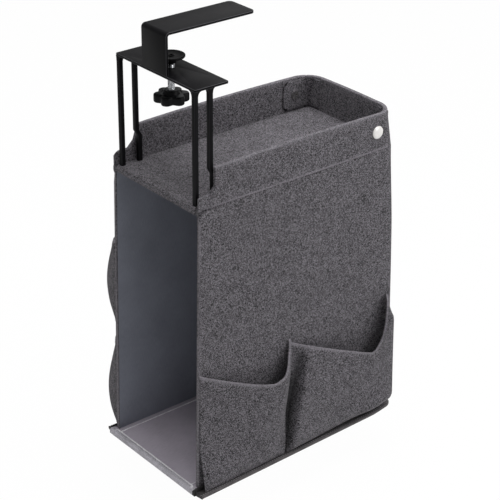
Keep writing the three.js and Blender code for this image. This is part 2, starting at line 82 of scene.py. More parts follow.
# Places and sizes in metres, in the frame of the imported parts
MM = 0.001
BODY = "box_and_frame"
SIDES = {"right": 1, "left": -1}
FLAP_LOW, FLAP_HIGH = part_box("right_flap_cover")
WALL_LOW, WALL_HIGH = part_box("right_wall_cover")
SHELF_LOW, SHELF_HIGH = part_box("shelf_cover")
BASE_LOW, BASE_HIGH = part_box("base_lining")
UNDER_LOW, UNDER_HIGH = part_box("base_underside")
TAPE_LOW, TAPE_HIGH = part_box("base_front_binding")
PLATE_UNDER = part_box("hanger_plate")[0].z
OUTER, INNER = FLAP_HIGH.x, FLAP_LOW.x
FRONT, SIDE_END, RIM = FLAP_LOW.y, FLAP_HIGH.y, FLAP_HIGH.z
FOLD = next(j["pos_m"][2] for j in frame["joints"] if j["name"] == "right_flap_fold")
BASE_TOP = WALL_LOW.z
WALL = OUTER - INNER
CLOTH = 1.2 * MM
SEAM = 0.3 * MM
BEND = 4 * MM
MERGE = 1e-6

# Back corners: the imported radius, and the cloth's own at the base, the fold and the rim
CORNER = 10 * MM
CORNER_LOW = 6 * MM
CORNER_AT_FOLD = 11 * MM
CORNER_AT_RIM = 27 * MM
CORNER_RISE = 110 * MM
BACK = SIDE_END + CORNER + SEAM
BACK_BOW = 2 * MM

# How far the walls stand out at the base
SIDE_LEAN = WALL_HIGH.x - OUTER
FRONT_LEAN = FRONT - WALL_LOW.y
BACK_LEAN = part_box("back_wall_cover")[1].y - BACK

# The notch at the front of each flap
NOTCH_END = FRONT + 27.3 * MM
NOTCH_FLOOR = {"right": FOLD + 16 * MM, "left": FOLD + 20 * MM}
NOTCH_SLANT = {"right": 0.0, "left": 6.5 * MM}
NOTCH_ROUND = {"right": 0.0, "left": 5 * MM}
NOTCH_SLOPE = 8 * MM

# The crease: its groove, deeper near the front and round the corner, the lip above it and its slit, darkened
# with painted shade
CREASE_RADIUS = 9 * MM
CREASE_DEPTH, CREASE_DEPTH_NEAR, CREASE_DEPTH_ROUND = 0.7 * MM, 1.9 * MM, 0.9 * MM
CREASE_WIDTH, CREASE_WIDTH_ROUND = 0.9 * MM, 0.25 * MM
CREASE_NEAR_START, CREASE_NEAR_LENGTH = 8 * MM, 45 * MM
CREASE_LIP, CREASE_LIP_RISE, CREASE_LIP_WIDTH = 0.4 * MM, 2.1 * MM, 1.1 * MM
SLIT_WIDTH, SLIT_START, SLIT_LENGTH = 1.3 * MM, 5 * MM, 14 * MM

# How far each wall's front edge is drawn back: on the flap, just under the fold and at the base
FRONT_TUCK = {"right": (3.4 * MM, 5.2 * MM, -0.2 * MM), "left": (0.0, 0.0, 0.0)}
TUCK_CHANGE = 12 * MM
TUCK_LENGTH = 24 * MM

# Cloth over boards: how far its faces are uneven, where they calm down, and how its rims bow
SIDE_UNEVEN, BACK_UNEVEN, SHELF_UNEVEN, LINING_UNEVEN = 0.4 * MM, 0.45 * MM, 0.45 * MM, 0.5 * MM
CALM_LENGTH, CALM_AT_BASE = 25 * MM, 40 * MM
SIDE_RIM_BOW, BACK_RIM_BOW = 1.8 * MM, 1.2 * MM
FRONT_SOFT, FRONT_THIN = 9 * MM, 2.4 * MM

# Cloth edges: how they are rounded, from which turn in degrees, and how much lighter they are painted at the
# front edge, the crease lip, the rims and the pocket hems: a painted highlight
EDGE_ROUND = 1 * MM
EDGE_STEPS = 3
EDGE_TURN = 50
RIM_LIGHT, RIM_LIGHT_WIDTH = 0.28, 2.5 * MM
FRONT_LIGHT, FRONT_LIGHT_AT_FOLD, FRONT_LIGHT_REACH = 0.35, 0.55, 0.35
LIP_LIGHT = 0.62
HEM_LIGHT = 0.68


def spaced(start, stop, step):
    """Evenly spaced places from start to stop, about a step apart."""
    return list(np.linspace(start, stop, max(2, int(round(abs(stop - start) / step)) + 1)))


def smooth_step(x):
    """A soft step from 0 to 1 as x goes from 0 to 1."""
    t = np.clip(x, 0, 1)
    return t * t * (3 - 2 * t)


def hump(x, width):
    """A soft hump that is 1 high at 0 and gone about two widths away."""
    return np.exp(-((x / width) ** 2))


def quarter(share):
    """Swells in a quarter wave as the share goes from 0 to 1."""
    return np.sin(math.pi / 2 * np.clip(share, 0, 1))


def drop_of(z, most=1):
    """How far below the fold a height lies, as a share of the way down to the base."""
    return np.clip((FOLD - z) / (FOLD - BASE_TOP), 0, most)


def leaned(points):
    """Points of upright walls, moved out below the fold as the walls lean towards the base."""
    moved = np.array(points, float)
    drop = drop_of(moved[..., 2], None)
    depth = (moved[..., 1] - FRONT) / (BACK - FRONT)
    moved[..., 0] *= 1 + drop * SIDE_LEAN / OUTER
    moved[..., 1] += drop * (BACK_LEAN * depth - FRONT_LEAN * (1 - depth))
    return moved


def ripple(u, v, phase):
    """Soft unevenness of cloth over a board, between about -1 and 1, for places in metres."""
    waves = ((23, 9, 0.0), (-14, 31, 1.7), (41, -22, 3.1), (9, 57, 4.4))
    return sum(np.sin(a * u + b * v + c + phase) for a, b, c in waves) / len(waves)


def corner_radius(z):
    """Radius of the back corners at a height: the cloth draws in at the fold, and more towards the rim."""
    below = CORNER_LOW + (CORNER_AT_FOLD - CORNER_LOW) * smooth_step((z - FOLD) / CORNER_RISE + 1)
    return below + (CORNER_AT_RIM - CORNER_AT_FOLD) * np.clip((z - FOLD) / (RIM - FOLD), 0, 1)


def drawn_in(y, z, inset):
    """Places in plan on a side wall, set in from its outside, where it draws in round the back corner."""
    radius = corner_radius(z)
    turn = np.clip((y - (BACK - radius)) / radius, 0, 1)
    return OUTER - radius + (radius - inset) * np.sqrt(1 - turn * turn), y - inset * turn


def front_tuck(side, y, z):
    """How far a side wall's front edge is drawn back at a height, fading along the wall."""
    at_flap, at_fold, at_base = FRONT_TUCK[side]
    wall = at_fold + (at_base - at_fold) * drop_of(z)
    amount = at_flap + (wall - at_flap) * smooth_step((FOLD - z) / TUCK_CHANGE)
    return amount * (1 - smooth_step((y - FRONT) / TUCK_LENGTH))


def arc(centre, radius, start, stop, count):
    """Points of an arc in a plane, from one angle to another."""
    angles = np.linspace(start, stop, count)
    return [(centre[0] + radius * math.cos(a), centre[1] + radius * math.sin(a)) for a in angles]


def run_of(path):
    """Distance along a path at each of its points."""
    return np.concatenate([[0], np.cumsum(np.linalg.norm(np.diff(path, axis=0), axis=1))])


def points_at(path, distances):
    """Points of a path in plan at distances along it."""
    run = run_of(path)
    return np.stack([np.interp(distances, run, path[:, k]) for k in (0, 1)], 1)


def directions(path):
    """Direction of a path at each of its points, 1 long."""
    run = np.gradient(path, axis=0)
    return run / np.linalg.norm(run, axis=1)[:, None]


# Meshes


def settle(name, shape, finish, sharp=38, uvs=None):
    """A new piece from a bmesh: closed, facing outwards and smooth but for its sharp edges."""
    bmesh.ops.delete(shape, geom=[v for v in shape.verts if not v.link_faces], context="VERTS")
    bmesh.ops.recalc_face_normals(shape, faces=shape.faces)
    mesh = bpy.data.meshes.new(name)
    shape.to_mesh(mesh)
    shape.free()
    mesh.shade_smooth()
    mesh.set_sharp_from_angle(angle=math.radians(sharp))
    weave_map(mesh, uvs)
    mesh.materials.append(finish)
    piece = bpy.data.objects.new(name, mesh)
    bpy.context.scene.collection.objects.link(piece)
    return piece


def weave_map(mesh, uvs=None):
    """The UV map that cloth reads, in metres: as given, or flat from the side that a face looks to."""
    layer = mesh.uv_layers.new(name="weave")
    points = np.array([v.co for v in mesh.vertices])
    pairs = ((1, 2), (0, 2), (0, 1))
    for face in mesh.polygons:
        axis = int(np.argmax(np.abs(face.normal)))
        for loop in face.loop_indices:
            vertex = mesh.loops[loop].vertex_index
            layer.data[loop].uv = points[vertex][list(pairs[axis])] if uvs is None else uvs[vertex]


def bmesh_of(points, faces):
    """A bmesh from points and faces."""
    shape = bmesh.new()
    vertices = [shape.verts.new(p) for p in points]
    for face in faces:
        shape.faces.new([vertices[i] for i in face])
    shape.normal_update()
    return shape


def shell(outside, inside, cells=None):
    """A closed shell between two grids of points, joined round its edges, of all cells or those given."""
    rows, columns = outside.shape[:2]
    if cells is None:
        starts = [(r, c) for r in range(rows - 1) for c in range(columns - 1)]
        cells = [[(r, c), (r, c + 1), (r + 1, c + 1), (r + 1, c)] for r, c in starts]
    half = rows * columns
    faces, uses = [], {}
    for cell in cells:
        ring = [r * columns + c for r, c in cell]
        faces.append(ring)
        faces.append([half + i for i in reversed(ring)])
        for a, b in zip(ring, ring[1:] + ring[:1]):
            uses.setdefault(frozenset((a, b)), []).append((a, b))
    for (a, b), *others in uses.values():
        if not others:
            faces.append([b, a, half + a, half + b])
    return bmesh_of(np.concatenate([outside.reshape(-1, 3), inside.reshape(-1, 3)]), faces)


def loft(rings):
    """A bmesh skinned over closed rings of points, with its two ends filled."""
    count, size = len(rings), len(rings[0])
    faces = []
    for k in range(count - 1):
        a, b = k * size, (k + 1) * size
        faces += [[a + i, a + (i + 1) % size, b + (i + 1) % size, b + i] for i in range(size)]
    faces += [list(range(size)), [(count - 1) * size + i for i in reversed(range(size))]]
    return bmesh_of(np.concatenate(rings), faces)


def lathe(profile, segments, place):
    """A bmesh turned from (radius, height) pairs; place(radius, height, angle) gives each point."""
    rings = [[place(r, h, 2 * math.pi * s / segments) for s in range(segments)] for r, h in profile]
    shape = loft([np.array(ring) for ring in rings])
    bmesh.ops.remove_doubles(shape, verts=shape.verts, dist=MERGE)
    return shape


def about_z(r, h, angle):
    """A point of a piece turned about the screw's line."""
    return (r * math.cos(angle), r * math.sin(angle), h)


def handed(shape, sign):
    """Turns a bmesh made for the right side into the left side's where sign is -1."""
    bmesh.ops.scale(shape, vec=(sign, 1, 1), verts=shape.verts)


def round_edges(shape, width, segments, pick=None, least=40):
    """Rounds the edges that turn by more than least degrees, or those that pick chooses by their middle."""
    chosen = []
    for edge in shape.edges:
        if len(edge.link_faces) == 2 and edge.calc_face_angle() > math.radians(least):
            middle = (edge.verts[0].co + edge.verts[1].co) / 2
            if pick is None or pick(middle):
                chosen.append(edge)
    return bmesh.ops.bevel(
        shape, geom=chosen, offset=width, offset_type="OFFSET", segments=segments, profile=0.5,
        affect="EDGES", clamp_overlap=False)


def refined(node, finish, width, slot, gleam=1.0):
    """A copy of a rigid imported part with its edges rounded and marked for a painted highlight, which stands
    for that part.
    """
    shape = bmesh.new()
    shape.from_mesh(frame["nodes"][node].data)
    bmesh.ops.remove_doubles(shape, verts=shape.verts, dist=MERGE)
    bmesh.ops.dissolve_limit(shape, angle_limit=math.radians(0.5), verts=shape.verts, edges=shape.edges)
    crest = shape.verts.layers.float.new("edge")
    made = round_edges(shape, width, 2)
    fillets = set(made["faces"])
    for vertex in made["verts"]:
        vertex[crest] = gleam * all(face in fillets for face in vertex.link_faces)
    return seated(settle(f"{node}_body", shape, finish), BODY, slot, node)


def seated(piece, body, slot, *nodes):
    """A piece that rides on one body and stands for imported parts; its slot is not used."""
    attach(piece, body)
    if nodes:
        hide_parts(*nodes)
    return piece


def mark(piece, name, values):
    """Stores one number for each vertex, which a finish can read; without it the finish reads 0."""
    attribute = piece.data.attributes.new(name, "FLOAT", "POINT")
    attribute.data.foreach_set("value", np.asarray(values, np.float32))


def places(piece):
    """The piece's vertices as an array."""
    return np.array([v.co for v in piece.data.vertices])


# Node trees and finishes


class Value:
    """A number on its way through a finish: arithmetic on it adds Math nodes."""

    def __init__(self, finish, socket):
        self.finish = finish
        self.socket = socket

    def maths(self, operation, *others):
        """The result of one Math node whose first input is this number."""
        inputs = dict(enumerate((self, *others)))
        return self.finish.number("ShaderNodeMath", {"operation": operation}, inputs)

    def __add__(self, other):
        return self.maths("ADD", other)

    def __sub__(self, other):
        return self.maths("SUBTRACT", other)

    def __rsub__(self, other):
        return (self * -1) + other

    def __mul__(self, other):
        return self.maths("MULTIPLY", other)

    def __truediv__(self, other):
        return self.maths("DIVIDE", other)

    __radd__ = __add__
    __rmul__ = __mul__


class Tree:
    """A node tree that is built node by node."""

    def __init__(self, tree):
        self.tree = tree

    def node(self, kind, settings=None, sockets=None):
        """A node of one kind: its settings, then the values or links of its sockets, by name or number."""
        made = self.tree.nodes.new(kind)
        for name, value in (settings or {}).items():
            if name == "stops":
                self.stops(made.color_ramp, value)
            else:
                setattr(made, name, value)
        for key, value in (sockets or {}).items():
            self.feed(made.inputs[key], value)
        return made

    def feed(self, socket, value):
        """Sets a socket, or links it to a Value or another socket."""
        if isinstance(value, Value):
            self.tree.links.new(value.socket, socket)
        elif isinstance(value, bpy.types.NodeSocket):
            self.tree.links.new(value, socket)
        else:
            socket.default_value = value

    @staticmethod
    def stops(ramp, stops):
        """Sets a ramp's stops from (place, colour) pairs."""
        while len(ramp.elements) < len(stops):
            ramp.elements.new(0.5)
        for element, (place, colour) in zip(ramp.elements, stops):
            element.position = place
            element.color = (*colour, 1)


class Finish(Tree):
    """A material built round one Principled shader."""

    def __init__(self, name):
        self.material = bpy.data.materials.new(name)
        self.material.use_nodes = True
        super().__init__(self.material.node_tree)
        self.shader = self.tree.nodes["Principled BSDF"]

    def number(self, kind, settings=None, sockets=None, output=0):
        """One output of a new node as a Value."""
        return Value(self, self.node(kind, settings, sockets).outputs[output])

    def weave(self):
        """The two directions of the piece's own UV map, in metres."""
        uv = self.node("ShaderNodeUVMap", {"uv_map": "weave"}).outputs[0]
        split = self.node("ShaderNodeSeparateXYZ", None, {0: uv})
        return Value(self, split.outputs[0]), Value(self, split.outputs[1])

    def space(self):
        """The place on the object."""
        return self.node("ShaderNodeTexCoord").outputs["Object"]

    def vector(self, x, y):
        """Two numbers as a vector."""
        return self.node("ShaderNodeCombineXYZ", None, {0: x, 1: y}).outputs[0]

    def noise(self, vector, scale, detail=2.0, roughness=0.5, flat=False):
        """Noise between 0 and 1 at a scale in features for each unit of the vector."""
        return self.number(
            "ShaderNodeTexNoise", {"noise_dimensions": "2D" if flat else "3D"},
            {"Vector": vector, "Scale": scale, "Detail": detail, "Roughness": roughness})

    def mark(self, name):
        """The number that a piece stores for each vertex."""
        return self.number("ShaderNodeAttribute", {"attribute_name": name}, None, "Fac")

    def mix(self, factor, a, b):
        """A colour between a and b."""
        a, b = ((*c, 1) if isinstance(c, tuple) and len(c) == 3 else c for c in (a, b))
        made = self.node("ShaderNodeMix", {"data_type": "RGBA"}, {"Factor": factor})
        self.feed(made.inputs[6], a)
        self.feed(made.inputs[7], b)
        return made.outputs[2]

    def ramp(self, factor, stops):
        """A colour from a ramp."""
        return self.node("ShaderNodeValToRGB", {"stops": stops}, {0: factor}).outputs[0]

    def bump(self, height, distance, strength):
        """Feeds the shader's normal from a height in units of distance, in metres."""
        made = self.node(
            "ShaderNodeBump", None, {"Strength": strength, "Distance": distance, "Height": height})
        self.set(Normal=made.outputs[0])

    def set(self, **sockets):
        """Feeds the shader's sockets, named with _ for each space."""
        for name, value in sockets.items():
            if isinstance(value, tuple) and len(value) == 3:
                value = (*value, 1)
            self.feed(self.shader.inputs[name.replace("_", " ")], value)


def shade(colour, share):
    """A colour made darker or lighter by a share."""
    return tuple(min(1.0, c * share) for c in colour)


def woven(name, colour, pitch, contrast, depth, roughness, streak):
    """Plain-woven melange cloth: light and dark yarns that cross, each streaked along its length."""
    finish = Finish(name)
    shift, mottle_scale, mottle_share, spread = 0.618, 75, 0.08, 0.09
    u, v = finish.weave()
    warp, weft = u / pitch, v / pitch
    warp_yarn, weft_yarn = warp.maths("FLOOR"), weft.maths("FLOOR")
    over = (warp_yarn + weft_yarn).maths("FLOORED_MODULO", 2)
    warp_round = (warp.maths("FRACT") * math.pi).maths("SINE")
    weft_round = (weft.maths("FRACT") * math.pi).maths("SINE")
    warp_slub = (v / streak + warp_yarn * shift).maths("FLOOR")
    weft_slub = (u / streak + weft_yarn * shift).maths("FLOOR")
    warp_tone = finish.noise(finish.vector(warp_yarn * 3.7, warp_slub * 5.3), 1, 2, 0.6, True)
    weft_tone = finish.noise(finish.vector(weft_slub * 4.1 + 7.3, weft_yarn * 5.3 + 3.1), 1, 2, 0.6, True)
    mottle = finish.noise(finish.vector(u, v), mottle_scale, 3, 0.6, True)
    tone = warp_tone * (1 - over) + weft_tone * over + (mottle - 0.5) * mottle_share
    tones = ((-1, -0.8), (0, -0.1), (1, 1.15))
    yarn = finish.ramp(tone, [(0.5 + spread * k, shade(colour, 1 + contrast * s)) for k, s in tones])
    # Lighter where a piece marks its edge, rim, crease lip or hem: a painted highlight, broken up by fine
    # noise
    painted_edge_light = finish.mark("edge") * (finish.noise(finish.space(), 400, 2) * 0.6 + 0.4)
    cloth = finish.mix(painted_edge_light, yarn, shade(colour, 3.4))
    # Darker where a piece marks a hollow: painted shade, nearly black, in the side walls' slit and beside the
    # pockets' slanting fold
    finish.set(Base_Color=finish.mix(finish.mark("hollow"), cloth, shade(colour, 0.015)))
    finish.set(Roughness=(1 - tone) * 0.1 + (roughness - 0.05))
    finish.set(Sheen_Weight=0.12, Sheen_Roughness=0.4, Specular_IOR_Level=0.25)
    crossing = warp_round * (1 - over) + weft_round * over
    finish.bump(crossing * (warp_round * weft_round * 0.5 + 0.5) + tone * 0.6, depth, 0.7)
    return finish.material


def plain_lining(name, colour, pitch, roughness):
    """Smooth lining cloth: a fine even weave with faint clouds and a soft gloss."""
    finish = Finish(name)
    u, v = finish.weave()
    cloud = finish.noise(finish.vector(u, v), 22, 3, 0.55, True)
    yarn = finish.noise(finish.vector(u / pitch, v / (14 * pitch)), 1, 2, 0.5, True)
    tone = cloud * 0.5 + yarn * 0.5
    # Lighter where a piece marks its edge: a painted highlight
    painted_edge_light = finish.mark("edge")
    tint = finish.ramp(tone, [(0.3, shade(colour, 0.86)), (0.7, shade(colour, 1.16))])
    finish.set(Base_Color=finish.mix(painted_edge_light * 0.55, tint, shade(colour, 1.7)))
    finish.set(Roughness=cloud * 0.12 + (roughness - 0.06), Sheen_Weight=0.1, Sheen_Roughness=0.4)
    ribs = (u / pitch * (2 * math.pi)).maths("SINE") + (v / pitch * (2 * math.pi)).maths("SINE")
    finish.bump(ribs * 0.3 + cloud, 0.12 * MM, 0.5)
    return finish.material


def tape(name, colour):
    """Binding tape: a ribbed weave across its length, much lighter where a piece marks its edge, a painted
    highlight.
    """
    finish = Finish(name)
    u, v = finish.weave()
    space = finish.space()
    fleck = finish.noise(space, 900, 2)
    wear = finish.noise(space, 60, 3)
    tone = fleck * 0.65 + wear * 0.35
    shaded = finish.ramp(tone, [(0.36, shade(colour, 0.7)), (0.64, shade(colour, 1.4))])
    # The marked edge's painted highlight
    painted_edge_light = finish.ramp(tone, [(0.36, shade(colour, 2.2)), (0.64, shade(colour, 5.2))])
    finish.set(Base_Color=finish.mix(finish.mark("edge"), shaded, painted_edge_light))
    finish.set(Roughness=wear * 0.15 + 0.78, Sheen_Weight=0.1, Sheen_Roughness=0.4, Specular_IOR_Level=0.3)
    ribs = ((u + v) * (2 * math.pi / MM)).maths("SINE") * 0.5
    finish.bump(ribs + fleck, 0.2 * MM, 0.6)
    return finish.material


def powder_coat(name, colour, edge_highlight_colour):
    """Black powder coat on steel: a fine orange peel, lighter in places, and a painted highlight on its marked
    edges.
    """
    finish = Finish(name)
    space = finish.space()
    peel = finish.noise(space, 1500, 2, 0.5)
    bloom = finish.noise(space, 28, 3, 0.6)
    coat = finish.ramp(bloom, [(0.3, shade(colour, 0.8)), (0.72, shade(colour, 1.25))])
    finish.set(Base_Color=finish.mix(finish.mark("edge"), coat, edge_highlight_colour))
    finish.set(Roughness=bloom * 0.18 + peel * 0.08 + 0.36, Specular_IOR_Level=0.065)
    finish.bump(peel, 0.05 * MM, 0.5)
    return finish.material


def grained(name, colour, grain, clouds, tones, gloss, relief, **constants):
    """A plain finish with broad clouds between two tones and a fine grain. gloss holds the grain's share of
    the roughness and the least roughness, and relief the grain's depth and strength."""
    finish = Finish(name)
    space = finish.space()
    fine = finish.noise(space, *grain)
    broad = finish.noise(space, *clouds) if clouds else fine
    dark, light = (shade(colour, tone) for tone in tones)
    finish.set(Base_Color=finish.ramp(broad, [(0.3, dark), (0.7, light)]))
    finish.set(Roughness=fine * gloss[0] + gloss[1], **constants)
    finish.bump(fine, *relief)
    return finish.material


def bright_metal(name, colour, roughness, grain):
    """Plated metal with fine turning marks and faint spots."""
    return grained(
        name, colour, (grain, 3, 0.6), (120, 2), (0.85, 1), (0.15, roughness), (0.02 * MM, 0.4), Metallic=1.0)


def enamel(name, colour):
    """Pale enamel on a pressed cap."""
    return grained(
        name, colour, (180, 3), None, (0.9, 1), (0.12, 0.2), (0.03 * MM, 0.3), Metallic=0.15, Coat_Weight=0.3)


def moulded_plastic(name, colour):
    """Black moulded plastic with a fine spark-eroded grain."""
    return grained(
        name, colour, (1100, 2), (70, 2), (0.8, 1.3), (0.15, 0.33), (0.05 * MM, 0.5), Specular_IOR_Level=0.09)


def pressed_board(name, colour):
    """Grey-brown board inside the walls: pressed fibres."""
    return grained(name, colour, (300, 4, 0.7), None, (0.7, 1.2), (0.1, 0.85), (0.2 * MM, 0.5))


def thread(name, colour):
    """Sewing thread: twisted strands."""
    return grained(
        name, colour, (2200, 2), None, (0.75, 1.2), (0.1, 0.6), (0.1 * MM, 0.5),
        Sheen_Weight=0.15, Sheen_Roughness=0.4)


FINISHES = {}


def finish_of(name):
    """One of the box's finishes, made when it is first asked for."""
    looks = bpy.context.scene.storage_box_looks
    makers = {
        # The third colour is the painted highlight on the steel's edges
        "steel": lambda: powder_coat("black_powder_coat", tuple(looks.steel), (0.085, 0.085, 0.092)),
        "zinc": lambda: bright_metal("zinc_plate", (0.88, 0.89, 0.91), 0.18, 700),
        "plastic": lambda: moulded_plastic("black_plastic", (0.0045, 0.0045, 0.0050)),
        "cloth": lambda: woven(
            "grey_melange", tuple(looks.cloth), looks.weave_pitch, 1.2, 0.35 * MM, 0.9, 1.5 * MM),
        "lining": lambda: plain_lining("smooth_lining", tuple(looks.lining), 0.5 * MM, 0.62),
        "base": lambda: plain_lining("pale_base_lining", tuple(looks.base), 0.6 * MM, 0.66),
        "dark_tape": lambda: tape("dark_binding_tape", tuple(looks.dark_tape)),
        "pale_tape": lambda: tape("pale_binding_tape", tuple(looks.pale_tape)),
        "bead": lambda: tape("pale_bead", shade(tuple(looks.pale_tape), 1.9)),
        "board": lambda: pressed_board("pressed_board", (0.20, 0.16, 0.11)),
        "snap": lambda: enamel("snap_cap_enamel", (0.80, 0.78, 0.76)),
        "snap_metal": lambda: bright_metal("snap_metal", (0.66, 0.65, 0.63), 0.2, 500),
        "pale_thread": lambda: thread("pale_thread", (0.20, 0.195, 0.205)),
        "dark_thread": lambda: thread("dark_thread", (0.035, 0.034, 0.037)),
    }
    if name not in FINISHES:
        FINISHES[name] = makers[name]()
    return FINISHES[name]


def colour_setting(name, description, *default):
    """A colour that a user may change."""
    return FloatVectorProperty(
        name=name, description=description, subtype="COLOR", size=3, default=default, min=0, max=1)


def length_setting(name, description, default, least, most):
    """A fine length that a user may change, in millimetres."""
    return FloatProperty(
        name=name, description=description, default=default * MM, min=least * MM, max=most * MM,
        unit="LENGTH", precision=5)


class StorageBoxLooks(bpy.types.PropertyGroup):
    """Colours and fine sizes of the box's cloth, steel and thread."""

    steel: colour_setting("Steel", "Powder coat on the clamp and legs", 0.0044, 0.0042, 0.0050)
    cloth: colour_setting("Cloth", "Middle tone of the melange cloth", 0.094, 0.088, 0.098)
    lining: colour_setting("Bay lining", "Smooth lining of the lower bay's walls", 0.235, 0.248, 0.295)
    base: colour_setting("Base lining", "Pale lining on the base", 0.410, 0.373, 0.430)
    # Kept dark, so that in towards its seam the bottom tape's lip shows painted shade beside the painted
    # highlight on its edge
    dark_tape: colour_setting("Dark tape", "Tape round the bottom edges", 0.024, 0.022, 0.023)
    pale_tape: colour_setting("Pale tape", "Tape round the base's front edge", 0.440, 0.425, 0.465)
    weave_pitch: length_setting(
        "Weave pitch", "Distance between two yarns of the melange cloth", 0.72, 0.2, 5)
    stitch_pitch: length_setting("Stitch pitch", "Distance from one stitch to the next", 3.6, 1, 20)
    stitch_length: length_setting(
        "Stitch length", "Length of the thread that shows in a stitch", 2.6, 0.5, 20)
    stitch_width: length_setting("Stitch width", "Thickness of the thread", 0.7, 0.1, 5)


def sized_tree(name, **sizes):
    """A tree of geometry nodes with inputs for sizes and a finish, those inputs and their identifiers."""
    group = bpy.data.node_groups.new(name, "GeometryNodeTree")
    kinds = {"Geometry": "Geometry", **sizes, "Finish": "Material"}
    identifiers = {
        key: group.interface.new_socket(key, in_out="INPUT", socket_type=f"NodeSocket{kind}").identifier
        for key, kind in kinds.items()}
    group.interface.new_socket("Geometry", in_out="OUTPUT", socket_type="NodeSocketGeometry")
    tree = Tree(group)
    return tree, tree.node("NodeGroupInput").outputs, identifiers


def end_tree(tree, last, finish):
    """Ends a tree of geometry nodes in real geometry with its finish."""
    real = tree.node("GeometryNodeRealizeInstances", None, {0: last.outputs[0]})
    painted = tree.node("GeometryNodeSetMaterial", None, {0: real.outputs[0], "Material": finish})
    tree.node("NodeGroupOutput", None, {0: painted.outputs[0]})


def grown(name, mesh, tree, identifiers, values):
    """A plain piece from a tree: its inputs set by identifier, evaluated, and the modifier gone."""
    source = bpy.data.objects.new(f"{name}_source", mesh)
    bpy.context.scene.collection.objects.link(source)
    modifier = source.modifiers.new("nodes", "NODES")
    modifier.node_group = tree.tree
    for key, value in values.items():
        modifier[identifiers[key]] = value
    evaluated = source.evaluated_get(bpy.context.evaluated_depsgraph_get())
    plain = bpy.data.meshes.new_from_object(evaluated)
    bpy.data.objects.remove(source)
    if not plain.polygons:
        raise RuntimeError(f"{name}: the node tree made no faces")
    plain.name = name
    plain.shade_smooth()
    plain.set_sharp_from_angle(angle=math.radians(50))
    piece = bpy.data.objects.new(name, plain)
    bpy.context.scene.collection.objects.link(piece)
    return piece


# Steel


class STORAGEBOX_OT_clamp(bpy.types.Operator):
    """Rounds the edges of the clamp's arm, plate and nut"""

    bl_idname = "storage_box.clamp"
    bl_label = "Clamp"

    def execute(self, context):
        refined("clamp_arm", finish_of("steel"), 0.5 * MM, "black_steel")
        refined("hanger_plate", finish_of("steel"), 0.5 * MM, "black_steel")
        refined("screw_nut", finish_of("zinc"), 0.4 * MM, "zinc_steel")
        return {"FINISHED"}


def flare_rings(corner, reach, radius):
    """Rings of a square bar's top that widens in a hollow curve, by reach (low x, high x, low y, high y)."""
    x0, x1, y0, y1 = corner
    steps = 6
    rings = []
    for k in range(steps + 1):
        angle = math.pi / 2 * k / steps
        z = PLATE_UNDER - radius * (1 - math.sin(angle))
        a, b, c, d = (share * (1 - math.cos(angle)) for share in reach)
        plan = ((x0 - a, y0 - c), (x1 + b, y0 - c), (x1 + b, y1 + d), (x0 - a, y1 + d))
        rings.append(np.array([(x, y, z) for x, y in plan]))
    return rings


class STORAGEBOX_OT_frame_bars(bpy.types.Operator):
    """Rounds the bars of the frame and flares the legs where they are welded under the plate"""

    bl_idname = "storage_box.frame_bars"
    bl_label = "Frame bars"

    def execute(self, context):
        steel = finish_of("steel")
        bar, bar_edge, bar_gleam = 5.5 * MM, 0.7 * MM, 0.2
        radius, inward, outward, sink = 6 * MM, 5 * MM, 0.8 * MM, 0.1 * MM
        for side, sign in SIDES.items():
            for part in ("side_rail", "rear_leg"):
                refined(f"{side}_{part}", steel, bar_edge, "black_steel", bar_gleam)
            low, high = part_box(f"{side}_rear_leg")
            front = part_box(f"{side}_side_rail")[0].y
            across = (inward, outward) if sign > 0 else (outward, inward)
            for name, y0, ahead, behind in (("front", front, 0, 5 * MM), ("rear", low.y, 3 * MM, 3 * MM)):
                corner = (low.x + sink, high.x - sink, y0 + sink, y0 + bar - sink)
                shape = loft(flare_rings(corner, (*across, ahead, behind), radius))
                seated(settle(f"{side}_{name}_leg_weld", shape, steel), BODY, "black_steel")
        refined("rear_cross_bar", steel, bar_edge, "black_steel")
        return {"FINISHED"}


def thread_tree():
    """A tree for a screw's thread: a ridge swept along a spiral."""
    tree, given, identifiers = sized_tree(
        "screw_thread", Turns="Float", Radius="Float", Height="Float", Ridge="Float", Foot="Vector")
    spiral = tree.node("GeometryNodeCurveSpiral", None, {
        "Resolution": 28, "Rotations": given["Turns"], "Start Radius": given["Radius"],
        "End Radius": given["Radius"], "Height": given["Height"]})
    upright = tree.node("GeometryNodeSetCurveNormal", {"mode": "Z_UP"}, {0: spiral.outputs[0]})
    ridge = tree.node("GeometryNodeCurvePrimitiveCircle", None, {"Resolution": 4, "Radius": given["Ridge"]})
    sweep = tree.node("GeometryNodeCurveToMesh", None, {
        "Fill Caps": True, "Curve": upright.outputs[0], "Profile Curve": ridge.outputs[0]})
    placed = tree.node("GeometryNodeTransform", None, {0: sweep.outputs[0], "Translation": given["Foot"]})
    end_tree(tree, placed, given["Finish"])
    return tree, identifiers


